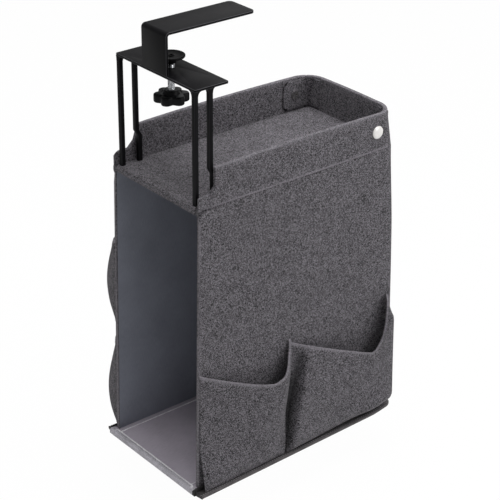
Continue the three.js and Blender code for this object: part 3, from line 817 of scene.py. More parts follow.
class STORAGEBOX_OT_screw(bpy.types.Operator):
    """Turns the clamp screw with its thread, the pressure disc and the star knob"""

    bl_idname = "storage_box.screw"
    bl_label = "Screw, disc and knob"

    def execute(self, context):
        low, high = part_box("clamp_screw")
        disc_low, disc_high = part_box("pressure_disc")
        self.rod(low.z, high.z, disc_low.z)
        self.disc(disc_low.z, disc_high.z)
        self.knob(*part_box("star_knob"))
        return {"FINISHED"}

    def rod(self, foot, top, hub):
        """The rod with its ball tip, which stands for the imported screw, and its thread."""
        ball, core, pitch, depth = 3.5 * MM, 3.45 * MM, 1.25 * MM, 0.55 * MM
        shoulder = hub - 0.4 * MM
        neck = 0.8 * MM
        dome = arc((0, top - ball), ball, -0.85, math.pi / 2, 12)
        profile = [(0, foot), (core, foot), (core, shoulder - neck), (core - neck, shoulder), *dome]
        rod = settle("clamp_screw_rod", lathe(profile, 40, about_z), finish_of("zinc"))
        seated(rod, "screw_and_knob", "zinc_steel", "clamp_screw")
        height = shoulder - 1.2 * MM - foot
        ridge = grown("clamp_screw_thread", bpy.data.meshes.new("none"), *thread_tree(), {
            "Turns": height / pitch, "Radius": core, "Height": height, "Ridge": depth,
            "Foot": (0.0, 0.0, foot), "Finish": finish_of("zinc")})
        seated(ridge, "screw_and_knob", "zinc_steel")

    def disc(self, under, top):
        """The dished disc, from radius and depth under its top, then radius and height over its hub's end."""
        dish = (
            (0, 1.3), (1.6, 1.3), (2.0, 0.5), (3.2, 0.3), (3.8, 0.9), (5.5, 1.3), (10, 1.0), (13, 0.4),
            (14.6, 0), (15.4, 0), (15.85, 0.3), (16, 0.6), (16, 1.9), (15.5, 2.5), (9.5, 4.4), (7.1, 5.6),
            (6.5, 6.4))
        hub = ((6.5, 0.4), (6.1, 0), (2.8, 0), (2.8, 0.6), (0, 0.6))
        profile = [(r * MM, top - h * MM) for r, h in dish] + [(r * MM, under + h * MM) for r, h in hub]
        disc = settle("pressure_disc_body", lathe(profile, 56, about_z), finish_of("steel"), 32)
        seated(disc, "clamp_pad", "black_steel", "pressure_disc")

    def knob(self, low, high):
        """The knob, from rings of a radius, or lobed rings set in by a distance, at heights over a level."""
        lobes, depth, segments = 6, 4.6 * MM, 144
        shoulder = high.z - 4 * MM
        bands = (
            (False, low.z, ((0.01, 1.2), (9.0, 1.2), (9.6, 0.2))),
            (True, low.z, ((2.4, 0), (1.0, 0.25), (0.25, 1.0), (0, 2.2))),
            (True, shoulder, ((0, -2.4), (0.3, -1.1), (1.1, -0.3), (2.5, 0))),
            (False, shoulder, ((12.2, 0), (11.4, -0.7), (9.6, -0.7), (9.0, 0.2))),
            (False, high.z, ((8.7, -0.8), (8.0, 0), (4.3, 0), (4.3, -3), (0.01, -3))))
        angles = np.linspace(0, 2 * math.pi, segments, endpoint=False)
        outline = high.x - depth * (0.5 - 0.5 * np.cos(lobes * angles)) ** 1.5
        rings = []
        for lobed, level, steps in bands:
            for size, rise in steps:
                radius = outline - size * MM if lobed else np.full(segments, size * MM)
                z = np.full(segments, level + rise * MM)
                rings.append(np.stack([radius * np.cos(angles), radius * np.sin(angles), z], 1))
        knob = settle("star_knob_body", loft(rings), finish_of("plastic"), 40)
        seated(knob, "screw_and_knob", "black_plastic", "star_knob")


# Cloth


def notch_front(side, z):
    """Where a flap's front edge lies at a height."""
    floor = NOTCH_FLOOR[side]
    rise = np.clip((z - floor) / NOTCH_SLOPE, 0, 1)
    return np.where(z <= floor + 1e-7, FRONT, NOTCH_END - NOTCH_SLOPE * (1 - rise))


def crease_line(y):
    """Height of the crease along the wall, and how far it has turned down round the board's front corner."""
    ahead = np.clip(FRONT + CREASE_RADIUS - y, 0, CREASE_RADIUS)
    return FOLD - CREASE_RADIUS + np.sqrt(CREASE_RADIUS**2 - ahead**2), ahead / CREASE_RADIUS


def crease_relief(y, z):
    """Relief of the fold, a groove that opens into a slit at the front, and the light on its upper lip."""
    line, ahead = crease_line(y)
    slope = np.clip(ahead / np.sqrt(np.maximum(1 - ahead**2, 1e-3)), 0, 3)
    away = (z - line) / np.sqrt(1 + slope**2)
    near = 1 - smooth_step((y - FRONT - CREASE_NEAR_START) / CREASE_NEAR_LENGTH)
    depth = CREASE_DEPTH + CREASE_DEPTH_NEAR * near + CREASE_DEPTH_ROUND * ahead
    groove = depth * hump(away, CREASE_WIDTH + CREASE_WIDTH_ROUND * ahead)
    lip = hump(away - CREASE_LIP_RISE, CREASE_LIP_WIDTH)
    return CREASE_LIP * lip - groove, lip * (1 - 0.8 * near)


def slit_painted_shade(y, z):
    """How much painted shade darkens the slit in which the fold begins at the front."""
    line = crease_line(y)[0]
    return hump(z - line, SLIT_WIDTH) * (1 - smooth_step((y - FRONT - SLIT_START) / SLIT_LENGTH))


def rim_light(points):
    """How much lighter the cloth is painted towards the walls' rim: a painted highlight."""
    return RIM_LIGHT * hump(points[:, 2] - RIM, RIM_LIGHT_WIDTH)


def side_grid(side):
    """Places along a side wall and heights on it, closest at the notch, the fold and the back corner."""
    slope_start, floor = NOTCH_END - NOTCH_SLOPE, NOTCH_FLOOR[side]
    ys = [FRONT, FRONT + CLOTH, *spaced(FRONT + 2.1 * MM, slope_start, 0.95 * MM)]
    ys += [slope_start + k * 2 * MM for k in (1, 2, 3, 4)]
    ys += spaced(NOTCH_END + 4 * MM, SIDE_END - 22 * MM, 7 * MM)
    ys += spaced(SIDE_END - 18 * MM, SIDE_END, 2 * MM)
    zs = spaced(BASE_TOP, FOLD - 18 * MM, 9 * MM) + spaced(FOLD - 13 * MM, FOLD + 6 * MM, 0.8 * MM)
    zs += [FOLD + 9 * MM, FOLD + 12.5 * MM] + [floor + k * 2 * MM for k in range(5)]
    zs += spaced(floor + NOTCH_SLOPE + 5 * MM, RIM - 3.5 * MM, 5 * MM) + [RIM]
    return ys, zs


def side_cells(side, ys, zs):
    """The cells of a side wall's grid behind the notch, cut to triangles along its slope."""
    cells = []
    for r in range(len(zs) - 1):
        edge = notch_front(side, (zs[r] + zs[r + 1]) / 2)
        for c in range(len(ys) - 1):
            corners = [(r, c), (r, c + 1), (r + 1, c + 1), (r + 1, c)]
            if ys[c] > edge - MERGE:
                cells.append(corners)
            elif ys[c + 1] > edge:
                cells.append(corners[:3])
    return cells


def side_heights(side, y, z):
    """Heights on a side wall, with the flap's rim bowed up and its front corner rounded down."""
    start = FOLD + 6 * MM
    bow = SIDE_RIM_BOW * np.sin(math.pi * np.clip((y - NOTCH_END) / (SIDE_END - NOTCH_END), 0, 1))
    ahead = np.clip(1 - (y - FRONT) / FRONT_SOFT, 0, 1)
    curl = ahead**2 * np.clip((z - FOLD) / (NOTCH_FLOOR[side] - FOLD), 0, 1)
    return z + bow * smooth_step((z - start) / (RIM - start)) - NOTCH_ROUND[side] * curl


def side_faces(side, sign, y, z):
    """A side wall's two faces: uneven over the boards, creased at the fold and recessed for the lining."""
    inset = np.minimum(y - notch_front(side, z), SIDE_END - y)
    calm = smooth_step(inset / CALM_LENGTH) * smooth_step((z - BASE_TOP) / CALM_AT_BASE)
    relief = SIDE_UNEVEN * ripple(y, z, 1.3 * sign) * calm
    recessed = (z < FOLD - BEND) & (y > FRONT + CLOTH + 0.1 * MM)
    thin = FRONT_THIN * (1 - smooth_step((y - FRONT) / FRONT_SOFT)) * (z > FOLD + 2 * MM)
    top = NOTCH_FLOOR[side] + NOTCH_SLOPE
    slant = np.clip((z - top) / (RIM - top), 0, 1) * (1 - smooth_step((y - NOTCH_END) / (40 * MM)))
    tuck = front_tuck(side, y, z) + NOTCH_SLANT[side] * slant
    height = side_heights(side, y, z)
    out_x, out_y = drawn_in(y, z, 0)
    in_x, in_y = drawn_in(y, z, np.where(recessed, WALL - CLOTH - 0.05 * MM, WALL) - thin)
    outside = np.stack([out_x + relief + crease_relief(y, z)[0], out_y + tuck, height], -1)
    inside = np.stack([in_x + np.where(recessed, 0, 0.5 * relief), in_y + tuck, height], -1)
    return leaned(outside), leaned(inside)


def side_edge_shows(middle):
    """Whether a side wall's edge is rounded: not at the base, in the slit or where the back wall joins."""
    at_slit = middle.y < FRONT + CREASE_RADIUS and abs(middle.z - (FOLD - 5 * MM)) < 8 * MM
    at_back = middle.y > SIDE_END - 7 * MM and middle.z < FOLD + 0.5 * MM
    return middle.z > BASE_TOP + 1 * MM and not at_slit and not at_back


def mark_side(panel, side):
    """Marks a side wall's painted highlight on its front edge, rim and crease lip, and the painted shade of
    its slit.
    """
    points = places(panel)
    y, z = points[:, 1], points[:, 2]
    drop = drop_of(z)
    outer_face = np.abs(points[:, 0]) > OUTER - 1.5 * MM
    edge_y = FRONT - FRONT_LEAN * drop + front_tuck(side, FRONT, z)
    light = FRONT_LIGHT + FRONT_LIGHT_AT_FOLD * (1 - smooth_step(drop / FRONT_LIGHT_REACH))
    near_front = light * hump(y - edge_y, 1 * MM) * outer_face * (z < FOLD - CREASE_RADIUS)
    lip = LIP_LIGHT * crease_relief(y, z)[1] * outer_face
    mark(panel, "edge", np.maximum.reduce([near_front, rim_light(points), lip]))
    mark(panel, "hollow", slit_painted_shade(y, z) * outer_face)


class STORAGEBOX_OT_side_panels(bpy.types.Operator):
    """Makes the right and left walls, each one cloth from wall to flap, creased at its fold"""

    bl_idname = "storage_box.side_panels"
    bl_label = "Side panels"

    def execute(self, context):
        for side, sign in SIDES.items():
            self.panel(side, sign)
        return {"FINISHED"}

    def panel(self, side, sign):
        """One side wall round the boards inside it."""
        ys, zs = side_grid(side)
        z, y = np.meshgrid(zs, ys, indexing="ij")
        shape = shell(*side_faces(side, sign, y, z), side_cells(side, ys, zs))
        round_edges(shape, EDGE_ROUND, EDGE_STEPS, side_edge_shows, EDGE_TURN)
        handed(shape, sign)
        panel = settle(f"{side}_side_panel", shape, finish_of("cloth"))
        mark_side(panel, side)
        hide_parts(f"{side}_wall_cover", f"{side}_flap_cover")
        start, end = ((sign * OUTER, 0, FOLD + k * BEND) for k in (-1, 1))
        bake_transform(panel)
        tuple(start)
        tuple(end)


def back_plan(inset, z):
    """Points in plan along the back wall at a height, from the right wall's end round to the left wall's."""
    radius = float(corner_radius(z))
    centre = (OUTER - radius, BACK - radius)
    start = math.asin(max(SIDE_END - centre[1], 0) / radius)
    turn = arc(centre, radius - inset, start, math.pi / 2, 40)
    if SIDE_END < centre[1]:
        turn.insert(0, (OUTER - inset, SIDE_END))
    turn = np.array(turn)
    corner = points_at(turn, np.linspace(0, run_of(turn)[-1], 14))
    across = [(x, BACK - inset) for x in np.linspace(corner[-1][0], -corner[-1][0], 19)[1:-1]]
    return np.concatenate([corner, across, corner[::-1] * np.array([-1, 1])])


class STORAGEBOX_OT_back_panel(bpy.types.Operator):
    """Makes the back wall with its rounded corners and its inner face"""

    bl_idname = "storage_box.back_panel"
    bl_label = "Back panel"

    def execute(self, context):
        zs = spaced(BASE_TOP, FOLD, 10 * MM) + spaced(FOLD + 8 * MM, RIM - 3 * MM, 7 * MM) + [RIM]
        shape = shell(self.face(zs, 0, BACK_BOW), self.face(zs, WALL, 0))
        round_edges(shape, EDGE_ROUND, EDGE_STEPS, lambda p: p.z > FOLD + 1 * MM, EDGE_TURN)
        panel = settle("back_panel", shape, finish_of("cloth"), 30)
        # The rim is painted lighter: a painted highlight
        mark(panel, "edge", rim_light(places(panel)))
        seated(panel, BODY, "melange_cloth", "back_wall_cover", "back_wall_lining")
        return {"FINISHED"}

    def face(self, zs, inset, belly):
        """One face of the wall, set in from its outside, which bellies out below the fold."""
        plan = np.array([back_plan(inset, z) for z in zs])
        x, y = plan[..., 0], plan[..., 1]
        z = np.broadcast_to(np.array(zs)[:, None], x.shape)
        calm = smooth_step((OUTER - CORNER_AT_RIM - np.abs(x)) / (20 * MM))
        sway = BACK_UNEVEN * ripple(x, z, 2.1) * calm * smooth_step((z - BASE_TOP) / CALM_AT_BASE)
        bow = BACK_RIM_BOW * np.cos(math.pi / 2 * x / OUTER) * smooth_step((z - FOLD) / (RIM - FOLD))
        swell = belly * np.sin(math.pi * drop_of(z)) * np.clip((y - SIDE_END) / (BACK - SIDE_END), 0, 1)
        return leaned(np.stack([x, y + sway + swell, z + bow], -1))


class STORAGEBOX_OT_shelf(bpy.types.Operator):
    """Wraps the shelf in cloth with a soft front edge"""

    bl_idname = "storage_box.shelf"
    bl_label = "Shelf"

    def execute(self, context):
        xs = spaced(SHELF_LOW.x, SHELF_HIGH.x, 7 * MM)
        ys = [FRONT, *spaced(FRONT + 4 * MM, SHELF_HIGH.y - 2 * MM, 8 * MM), SHELF_HIGH.y]
        y, x = np.meshgrid(ys, xs, indexing="ij")
        calm = smooth_step((y - FRONT) / (15 * MM)) * smooth_step((SHELF_HIGH.x - np.abs(x)) / (12 * MM))
        relief = SHELF_UNEVEN * ripple(x, y, 0.7) * calm
        top = np.stack([x, y, SHELF_HIGH.z + np.minimum(relief, 0.2 * MM)], -1)
        under = np.stack([x, y, SHELF_LOW.z + relief], -1)
        shape = shell(top, under)
        inner = SHELF_HIGH.x - 0.1 * MM
        round_edges(shape, 2.2 * MM, 4, lambda p: p.y < FRONT + 0.5 * MM and abs(p.x) < inner, EDGE_TURN)
        shelf = settle("shelf_wrap", shape, finish_of("cloth"))
        seated(shelf, BODY, "melange_cloth", "shelf_cover")
        return {"FINISHED"}


class STORAGEBOX_OT_bay_linings(bpy.types.Operator):
    """Hangs the smooth lining on the inside of the lower bay's walls"""

    bl_idname = "storage_box.bay_linings"
    bl_label = "Bay linings"

    def execute(self, context):
        ys = spaced(FRONT + CLOTH, BACK - WALL - SEAM, 8 * MM)
        zs = spaced(BASE_TOP, SHELF_LOW.z, 9 * MM)
        z, y = np.meshgrid(zs, ys, indexing="ij")
        calm = smooth_step((y - FRONT) / CALM_LENGTH) * smooth_step((z - BASE_TOP) / CALM_LENGTH)
        for side, sign in SIDES.items():
            relief = LINING_UNEVEN * (ripple(y, z, 4.0 * sign) - 0.6) * calm
            face = np.stack([INNER + relief, y + front_tuck(side, y, z), z], -1)
            shape = shell(leaned(face), leaned(face + np.array([CLOTH, 0, 0])))
            handed(shape, sign)
            lining = settle(f"{side}_bay_lining", shape, finish_of("lining"))
            seated(lining, BODY, "smooth_lining", f"{side}_wall_lining")
        return {"FINISHED"}


# Base

FRONT_LAP = 6.5 * MM
RIGHT_WRAP = 2 * MM
BINDING_LOW = UNDER_LOW.z - 0.5 * MM
BINDING_HIGH = BINDING_LOW + 10 * MM
BINDING_FRONT = FRONT - FRONT_LEAN
LIP_FRONT = 14 * MM
LIP_BACK = 6.5 * MM
LEFT_LIP = 0.55
LIP_TILT = 1.8 * MM
LIP_TOP = BINDING_LOW + LIP_TILT + 4.4 * MM
LIP_START = 6 * MM
BASE_STEP = 8 * MM
BASE_CORNER = CORNER + 1.5 * MM


def base_plan(grow):
    """Points in plan along the base's edge, from its right front corner round the back to its left one."""
    half, end = BASE_HIGH.x + grow, BASE_HIGH.y + grow
    radius = BASE_CORNER + grow
    right = [(half, y) for y in spaced(BASE_LOW.y, end - radius, BASE_STEP)[:-1]]
    right += arc((half - radius, end - radius), radius, 0, math.pi / 2, 9)
    across = [(x, end) for x in spaced(half - radius, radius - half, BASE_STEP)[1:-1]]
    return np.array(right + across + [(-x, y) for x, y in reversed(right)])


def slab(outline, low, high):
    """A bmesh between two heights over an outline in plan."""
    flat = np.ones(len(outline))
    return loft([np.column_stack([outline, flat * z]) for z in (low, high)])


def piping(path, width, height):
    """A bmesh of a low round cord sewn along an open path of points on a level face."""
    sides = 10
    turns = [2 * math.pi * k / sides for k in range(sides)]
    up = np.array([0, 0, height])
    rings = []
    for point, aside in zip(path, np.cross(directions(path), (0, 0, 1))):
        rings.append(np.array([point + aside * (width / 2 * math.cos(a)) + up * math.sin(a) for a in turns]))
    return loft(rings)


def straight(a, b):
    """Points from a to b about a step apart."""
    count = max(2, int(round(np.linalg.norm(b - a) / BASE_STEP)) + 1)
    return [a + (b - a) * t for t in np.linspace(0, 1, count)]


def rounded_path(corners, radius=0):
    """Points along straight runs between corners, with each inner corner rounded."""
    corners = [np.array(c, float) for c in corners]
    path = [corners[0]]
    for before, corner, after in zip(corners, corners[1:], corners[2:]):
        a = corner + (before - corner) / np.linalg.norm(before - corner) * radius
        b = corner + (after - corner) / np.linalg.norm(after - corner) * radius
        path += straight(path[-1], a)[1:]
        path += [(1 - t) ** 2 * a + 2 * t * (1 - t) * corner + t * t * b for t in np.linspace(0, 1, 6)[1:]]
    return np.array(path + straight(path[-1], corners[-1])[1:])


def base_beads():
    """Lines of the beads on the base: along the front tape's lap with its two ends, and along both walls."""
    aside = INNER * (1 + SIDE_LEAN / OUTER)
    end, wall = aside - 1 * MM, aside - 7 * MM
    lap = TAPE_LOW.y + FRONT_LAP - 0.6 * MM
    nose = BASE_LOW.y + 1 * MM
    back = BACK + BACK_LEAN - WALL - 10 * MM
    z = TAPE_HIGH.z
    return {
        "front": rounded_path([(-end, nose, z), (-end, lap, z), (end, lap, z), (end, nose, z)], 2 * MM),
        "right": rounded_path([(wall, lap, BASE_TOP), (wall, back, BASE_TOP)]),
        "left": rounded_path([(-wall, lap, BASE_TOP), (-wall, back, BASE_TOP)]),
    }


def binding_path(out, height, from_edge=False):
    """Points along the bottom binding, out from the base's edge or in from the lip's own edge. The lip
    stands out most at the front and least across the back."""
    edge = base_plan(0)
    normal = (base_plan(MM) - edge) / MM
    depth = np.clip((edge[:, 1] - BINDING_FRONT) / (BACK - BINDING_FRONT), 0, 1)
    reach = LIP_FRONT + (LIP_BACK - LIP_FRONT) * depth
    reach = reach * (1 - 0.6 * smooth_step((edge[:, 1] - (BACK - 30 * MM)) / (40 * MM)))
    reach = np.where(edge[:, 0] < -0.5 * OUTER, LEFT_LIP * reach, reach)
    away = reach - np.minimum(out, 0.8 * reach) if from_edge else np.full(len(edge), out)
    plan = (edge + normal * away[:, None])[edge[:, 1] > BINDING_FRONT + 1 * MM]
    ends = [(plan[k][0], BINDING_FRONT - LIP_START) for k in (0, -1)]
    return np.array([(x, y, height) for x, y in [ends[0], *plan, ends[1]]])


class STORAGEBOX_OT_base(bpy.types.Operator):
    """Makes the base's lining with its sewn border, its underside and the tapes that bind its edges"""

    bl_idname = "storage_box.base"
    bl_label = "Base"

    def execute(self, context):
        bead_width, bead_height = 1.7 * MM, 0.8 * MM
        lining = settle("base_top", slab(base_plan(0), BASE_LOW.z, BASE_HIGH.z), finish_of("base"))
        seated(lining, BODY, "pale_lining", "base_lining")
        for name, path in base_beads().items():
            bead = settle(f"base_{name}_bead", piping(path, bead_width, bead_height), finish_of("bead"), 80)
            seated(bead, BODY, "pale_tape")
        under = settle("base_under", slab(base_plan(0), UNDER_LOW.z, UNDER_HIGH.z), finish_of("dark_tape"))
        seated(under, BODY, "dark_tape", "base_underside")
        self.front_binding(TAPE_LOW, TAPE_HIGH)
        self.bottom_binding()
        return {"FINISHED"}

    def front_binding(self, low, high):
        """The pale tape round the base's front edge, and the cloth tucked in at its two ends."""
        nose, lap, soft = low.y, low.y + FRONT_LAP, 2.2 * MM
        bevel = lap - 0.6 * MM
        edge = 0.5 * MM
        nose_run = arc((nose + soft, high.z - soft), soft, math.pi / 2, math.pi, 6)
        nose_run += arc((nose + soft, low.z + soft), soft, math.pi, 1.5 * math.pi, 6)
        section = [
            (lap, high.z - edge), (bevel, high.z), *nose_run, (bevel, low.z), (lap, low.z + edge),
            (lap, low.z + CLOTH), (nose + CLOTH, low.z + CLOTH), (nose + CLOTH, high.z - CLOTH),
            (lap, high.z - CLOTH)]
        rings = []
        for x in spaced(low.x, high.x - RIGHT_WRAP, BASE_STEP):
            waver = 0.25 * MM * math.sin(70 * x + 1) * (1 - (x / high.x) ** 8)
            rings.append(np.array([(x, y + waver * (y > lap - 1 * MM), z) for y, z in section]))
        piece = settle("base_front_tape", loft(rings), finish_of("pale_tape"))
        seated(piece, BODY, "pale_tape", "base_front_binding")
        tuck_end, inset = BINDING_FRONT + 0.5 * MM, 0.6 * MM
        section = nose_run + [(tuck_end, low.z + inset), (tuck_end, high.z - inset)]
        for side, sign in SIDES.items():
            wrap, finish = (RIGHT_WRAP, "dark_tape") if sign > 0 else (0, "pale_tape")
            ends = (sign * (high.x - wrap - 0.4 * MM), sign * (high.x + 0.5 * MM))
            tuck = loft([np.array([(x, y, z) for y, z in section]) for x in ends])
            seated(settle(f"base_{side}_end_tuck", tuck, finish_of(finish)), BODY, finish)

    def bottom_binding(self):
        """The dark tape round the bottom edges: a lip, by distance from its edge and height, and a band."""
        low, high = BINDING_LOW, BINDING_HIGH
        lip = (
            (1.2, 0), (0.3, 0.5), (0, 1.4), (0, 2.8), (0.5, 3.7), (1.6, 4.2), (2.8, 3.8), (3.4, 3.8),
            (4.6, 4.4))
        band = ((1.4 * MM, LIP_TOP - 1.5 * MM), (1.2 * MM, high), (0, high))
        lines = [binding_path(0, low)]
        lines += [binding_path(out * MM, low + rise * MM + LIP_TILT, True) for out, rise in lip]
        lines += [binding_path(out, z) for out, z in band]
        shape = loft([np.array([line[k] for line in lines]) for k in range(len(lines[0]))])
        round_edges(shape, 0.6 * MM, 2, lambda p: p.y < BINDING_FRONT - LIP_START + 0.1 * MM, 60)
        piece = settle("bottom_tape", shape, finish_of("dark_tape"), 50)
        # Marks the lip's outer edge for the tape's painted highlight; unmarked, in towards the seam, the tape
        # keeps its own dark colour, set darker as painted shade
        rim = binding_path(0, 0, True)[:, :2]
        length = run_of(rim)[-1]
        points = places(piece)
        fine = points_at(rim, spaced(0, length, MM))
        away = np.linalg.norm(points[:, None, :2] - fine[None], axis=2).min(1)
        above = points[:, 2] - low - LIP_TILT
        at_edge = 1 - smooth_step((away - 1.2 * MM) / (2.6 * MM))
        mark(piece, "edge", at_edge * smooth_step((above - 0.4 * MM) / (1.4 * MM)))
        seated(piece, BODY, "dark_tape", "bottom_binding")


# Pockets

POCKET_CLOTH = 1.6 * MM
POCKET_BOTTOM = LIP_TOP
POCKET_FRONT = FRONT + 2 * MM
POCKET_BACK = BACK - CORNER
VALLEY = POCKET_FRONT + 132 * MM
STEEP = 3.5 * MM
FOOT = 8.5 * MM
SEAM_SLANT = 10 * MM
FOLD_CURVE = 1.9
SLACK = 0.7 * MM
STAND_LENGTH = 30 * MM
HORN_LENGTH = 25 * MM
HEM_EXTRA = 0.5 * MM
# Width of the painted shade beside a pocket's slanting fold, at its bottom and added towards its rim
SHADE_WIDTH, SHADE_WIDTH_UP = 3.6 * MM, 3.4 * MM


def straight_rise(share):
    """Swells in a line that is a little full."""
    return np.clip(share, 0, 1) ** 0.9


def soft_least(a, b, blend):
    """The lesser of two numbers, rounded where they cross."""
    h = np.clip(0.5 + 0.5 * (b - a) / blend, 0, 1)
    return b + (a - b) * h - blend * h * (1 - h)


def stand_off(amount, at_rim):
    """How far a pocket's end stands off the wall, by height: most under the rim, and a share of it there."""
    return lambda share: amount * share**1.6 * (1 - (1 - at_rim) * share**6)


def drape(amount):
    """How far a pocket hangs out beyond a slanting fold, by height: nothing at its bottom and at its rim."""
    return lambda share: amount * np.sin(math.pi * share**0.8) ** 0.7


LEFT_POCKET = dict(
    ends=(POCKET_FRONT, POCKET_BACK), slants=(0.0, 0.0), rise=quarter, swell=7 * MM, fall=10 * MM,
    fullness=0.75, dip=0.0, shoulder=0.0, front_fold=0.0, front_stand=drape(0), back_stand=stand_off(0, 0),
    fill=0.0, foot=0.0, heel=0.0)
POCKETS = {
    "right_front_pocket": dict(
        ends=(POCKET_FRONT, VALLEY), slants=(0.0, SEAM_SLANT), heights=(POCKET_BOTTOM, BASE_TOP + 154.5 * MM),
        belly=19.5 * MM, rise=straight_rise, swell=94 * MM, fall=26 * MM, fullness=1.35, dip=41.2 * MM,
        shoulder=0.0, rim_share=1.0, sag=0.8, front_fold=0.0, front_stand=drape(0),
        back_stand=stand_off(12 * MM, 0.25), fill=0.0, foot=FOOT, heel=0.0),
    "right_rear_pocket": dict(
        ends=(VALLEY + 1 * MM + POCKET_CLOTH, POCKET_BACK), slants=(SEAM_SLANT, 0.0),
        heights=(POCKET_BOTTOM, BASE_TOP + 150 * MM), belly=19.8 * MM, rise=straight_rise, swell=113 * MM,
        fall=6.6 * MM, fullness=0.86, dip=49.2 * MM, shoulder=10 * MM, rim_share=1.0, sag=0.8,
        front_fold=17 * MM, front_stand=drape(13 * MM), back_stand=stand_off(0, 0), fill=0.94, foot=FOOT,
        heel=6 * MM, rim_round=0.06, rim_fall=24 * MM, horn=11 * MM),
    "left_lower_pocket": dict(
        heights=(BASE_TOP + 1.5 * MM, BASE_TOP + 131 * MM), belly=26 * MM, rim_share=0.12, sag=0.6,
        **LEFT_POCKET),
    "left_upper_pocket": dict(
        heights=(BASE_TOP + 150 * MM, BASE_TOP + 261 * MM), belly=29 * MM, rim_share=0.33, sag=0.68,
        **LEFT_POCKET),
}


def pocket_grid(ends, swell, fall, front_fold):
    """How far up a pocket its rows lie, as a share, and how far along it its columns lie."""
    length = ends[1] - ends[0]
    beyond_fold = front_fold + 12 * MM
    runs = (
        spaced(0, STEEP, 0.6 * MM), spaced(STEEP, beyond_fold, 1.4 * MM), spaced(beyond_fold, swell, 5 * MM),
        spaced(swell, length - fall, 6 * MM), spaced(length - fall, length - STEEP, 2 * MM),
        spaced(length - STEEP, length, 0.6 * MM))
    along = np.unique(np.round(np.concatenate(runs), 6))
    shares = np.concatenate([np.linspace(0, 0.2, 11), np.linspace(0.2, 1, 25)[1:]])
    return np.meshgrid(shares, along, indexing="ij")


def pocket_surface(
        ends, slants, heights, belly, rise, swell, fall, fullness, dip, shoulder, rim_share, sag, front_fold,
        front_stand, back_stand, fill, foot, heel, rim_round=0.3, rim_fall=0.0, horn=0.0):
    """A pocket's inner face as a grid of points, before leaning. It swells from its front end, falls to its
    back end. It may hang out beyond a slanting fold at its front, stand off at its back and be fuller there.
    Its bottom is sewn out on the lip. Its rim dips between the ends and may rise to a horn at the back."""
    share, along = pocket_grid(ends, swell, fall, front_fold)
    length = ends[1] - ends[0]
    left_over = length - along
    falls = fall + ((rim_fall or fall) - fall) * smooth_step((share - 0.85) / 0.15)
    out = np.minimum(rise(along / swell), quarter(left_over / falls) ** fullness)
    back_rise = quarter((left_over - shoulder) / (length - swell - shoulder))
    low = dip * soft_least(rise(along / swell), back_rise, rim_round)
    lift = (1 - rim_share) * np.sin(math.pi * share**sag) + rim_share * quarter(share)
    lift = lift + (quarter(share / 0.16) - lift) * fill * smooth_step((along / length - 0.35) / 0.6)
    slack = SLACK * np.sin(along * 150 + 2 * share) * quarter(share) * (1 - share**3) * out
    beyond = along - front_fold * share**FOLD_CURVE
    stand = front_stand(share) * smooth_step(beyond / (2 * STEEP)) * (1 - np.clip(beyond / swell, 0, 1))
    back_fade = 1 - np.clip(left_over / STAND_LENGTH, 0, 1)
    stand = stand + back_stand(share) * quarter(left_over / STEEP) * back_fade
    near, far = (end - slant * (1 - share) for end, slant in zip(ends, slants))
    y = near + (far - near) * along / length
    sewn = foot * np.clip(1 - (y - FRONT) / (BACK - FRONT), 0, 1) * (1 - smooth_step(share / 0.4))
    x = OUTER + SEAM + belly * out * lift + slack + stand + sewn
    floor = heights[0] + heel * (along / length) ** 1.6
    rim = heights[1] + horn * smooth_step(1 - left_over / HORN_LENGTH) - low
    return np.stack([x, y, floor + (rim - floor) * share], -1)


def pocket_painted_shade(ends, swell, fall, front_fold, **_):
    """How much painted shade darkens each point of a pocket, by how deep in the shade of its slanting fold it
    lies.
    """
    share, along = pocket_grid(ends, swell, fall, front_fold)
    if not front_fold:
        return np.zeros_like(share)
    beyond = along - front_fold * share**FOLD_CURVE
    near = hump(beyond, SHADE_WIDTH + SHADE_WIDTH_UP * share)
    near = np.where(beyond < 0, np.maximum(near, 1 - smooth_step((share - 0.58) / 0.3)), near)
    return near * (1 - 0.5 * share**2) * smooth_step(share / 0.06) * (1 - smooth_step((share - 0.9) / 0.1))


def normals_of(grid):
    """The outward normal at each point of a grid that stands on a wall looking to +X."""
    normal = np.cross(np.gradient(grid, axis=1), np.gradient(grid, axis=0))
    return normal / np.linalg.norm(normal, axis=-1)[..., None]


def pocket_faces(name):
    """A pocket's outer and inner faces, thin at the bottom and with the hem's extra thickness at the rim."""
    grid = leaned(pocket_surface(**POCKETS[name]))
    level = np.linspace(0, 1, grid.shape[0])[:, None, None]
    thick = POCKET_CLOTH * (0.75 + 0.25 * smooth_step((level - 0.02) / 0.1))
    thick = thick + HEM_EXTRA * smooth_step((level - 0.92) / 0.015)
    hand = np.array([SIDES[name.split("_")[0]], 1, 1])
    return (grid + normals_of(grid) * thick) * hand, grid * hand


def surface_lengths(grid):
    """Distances along a grid's rows and columns from its first corner, in metres: its own UV map."""
    across = np.linalg.norm(np.diff(grid, axis=1), axis=-1)
    up = np.linalg.norm(np.diff(grid, axis=0), axis=-1)
    u = np.concatenate([np.zeros((grid.shape[0], 1)), np.cumsum(across, axis=1)], axis=1)
    v = np.concatenate([np.zeros((1, grid.shape[1])), np.cumsum(up, axis=0)], axis=0)
    return np.stack([u, v], -1)


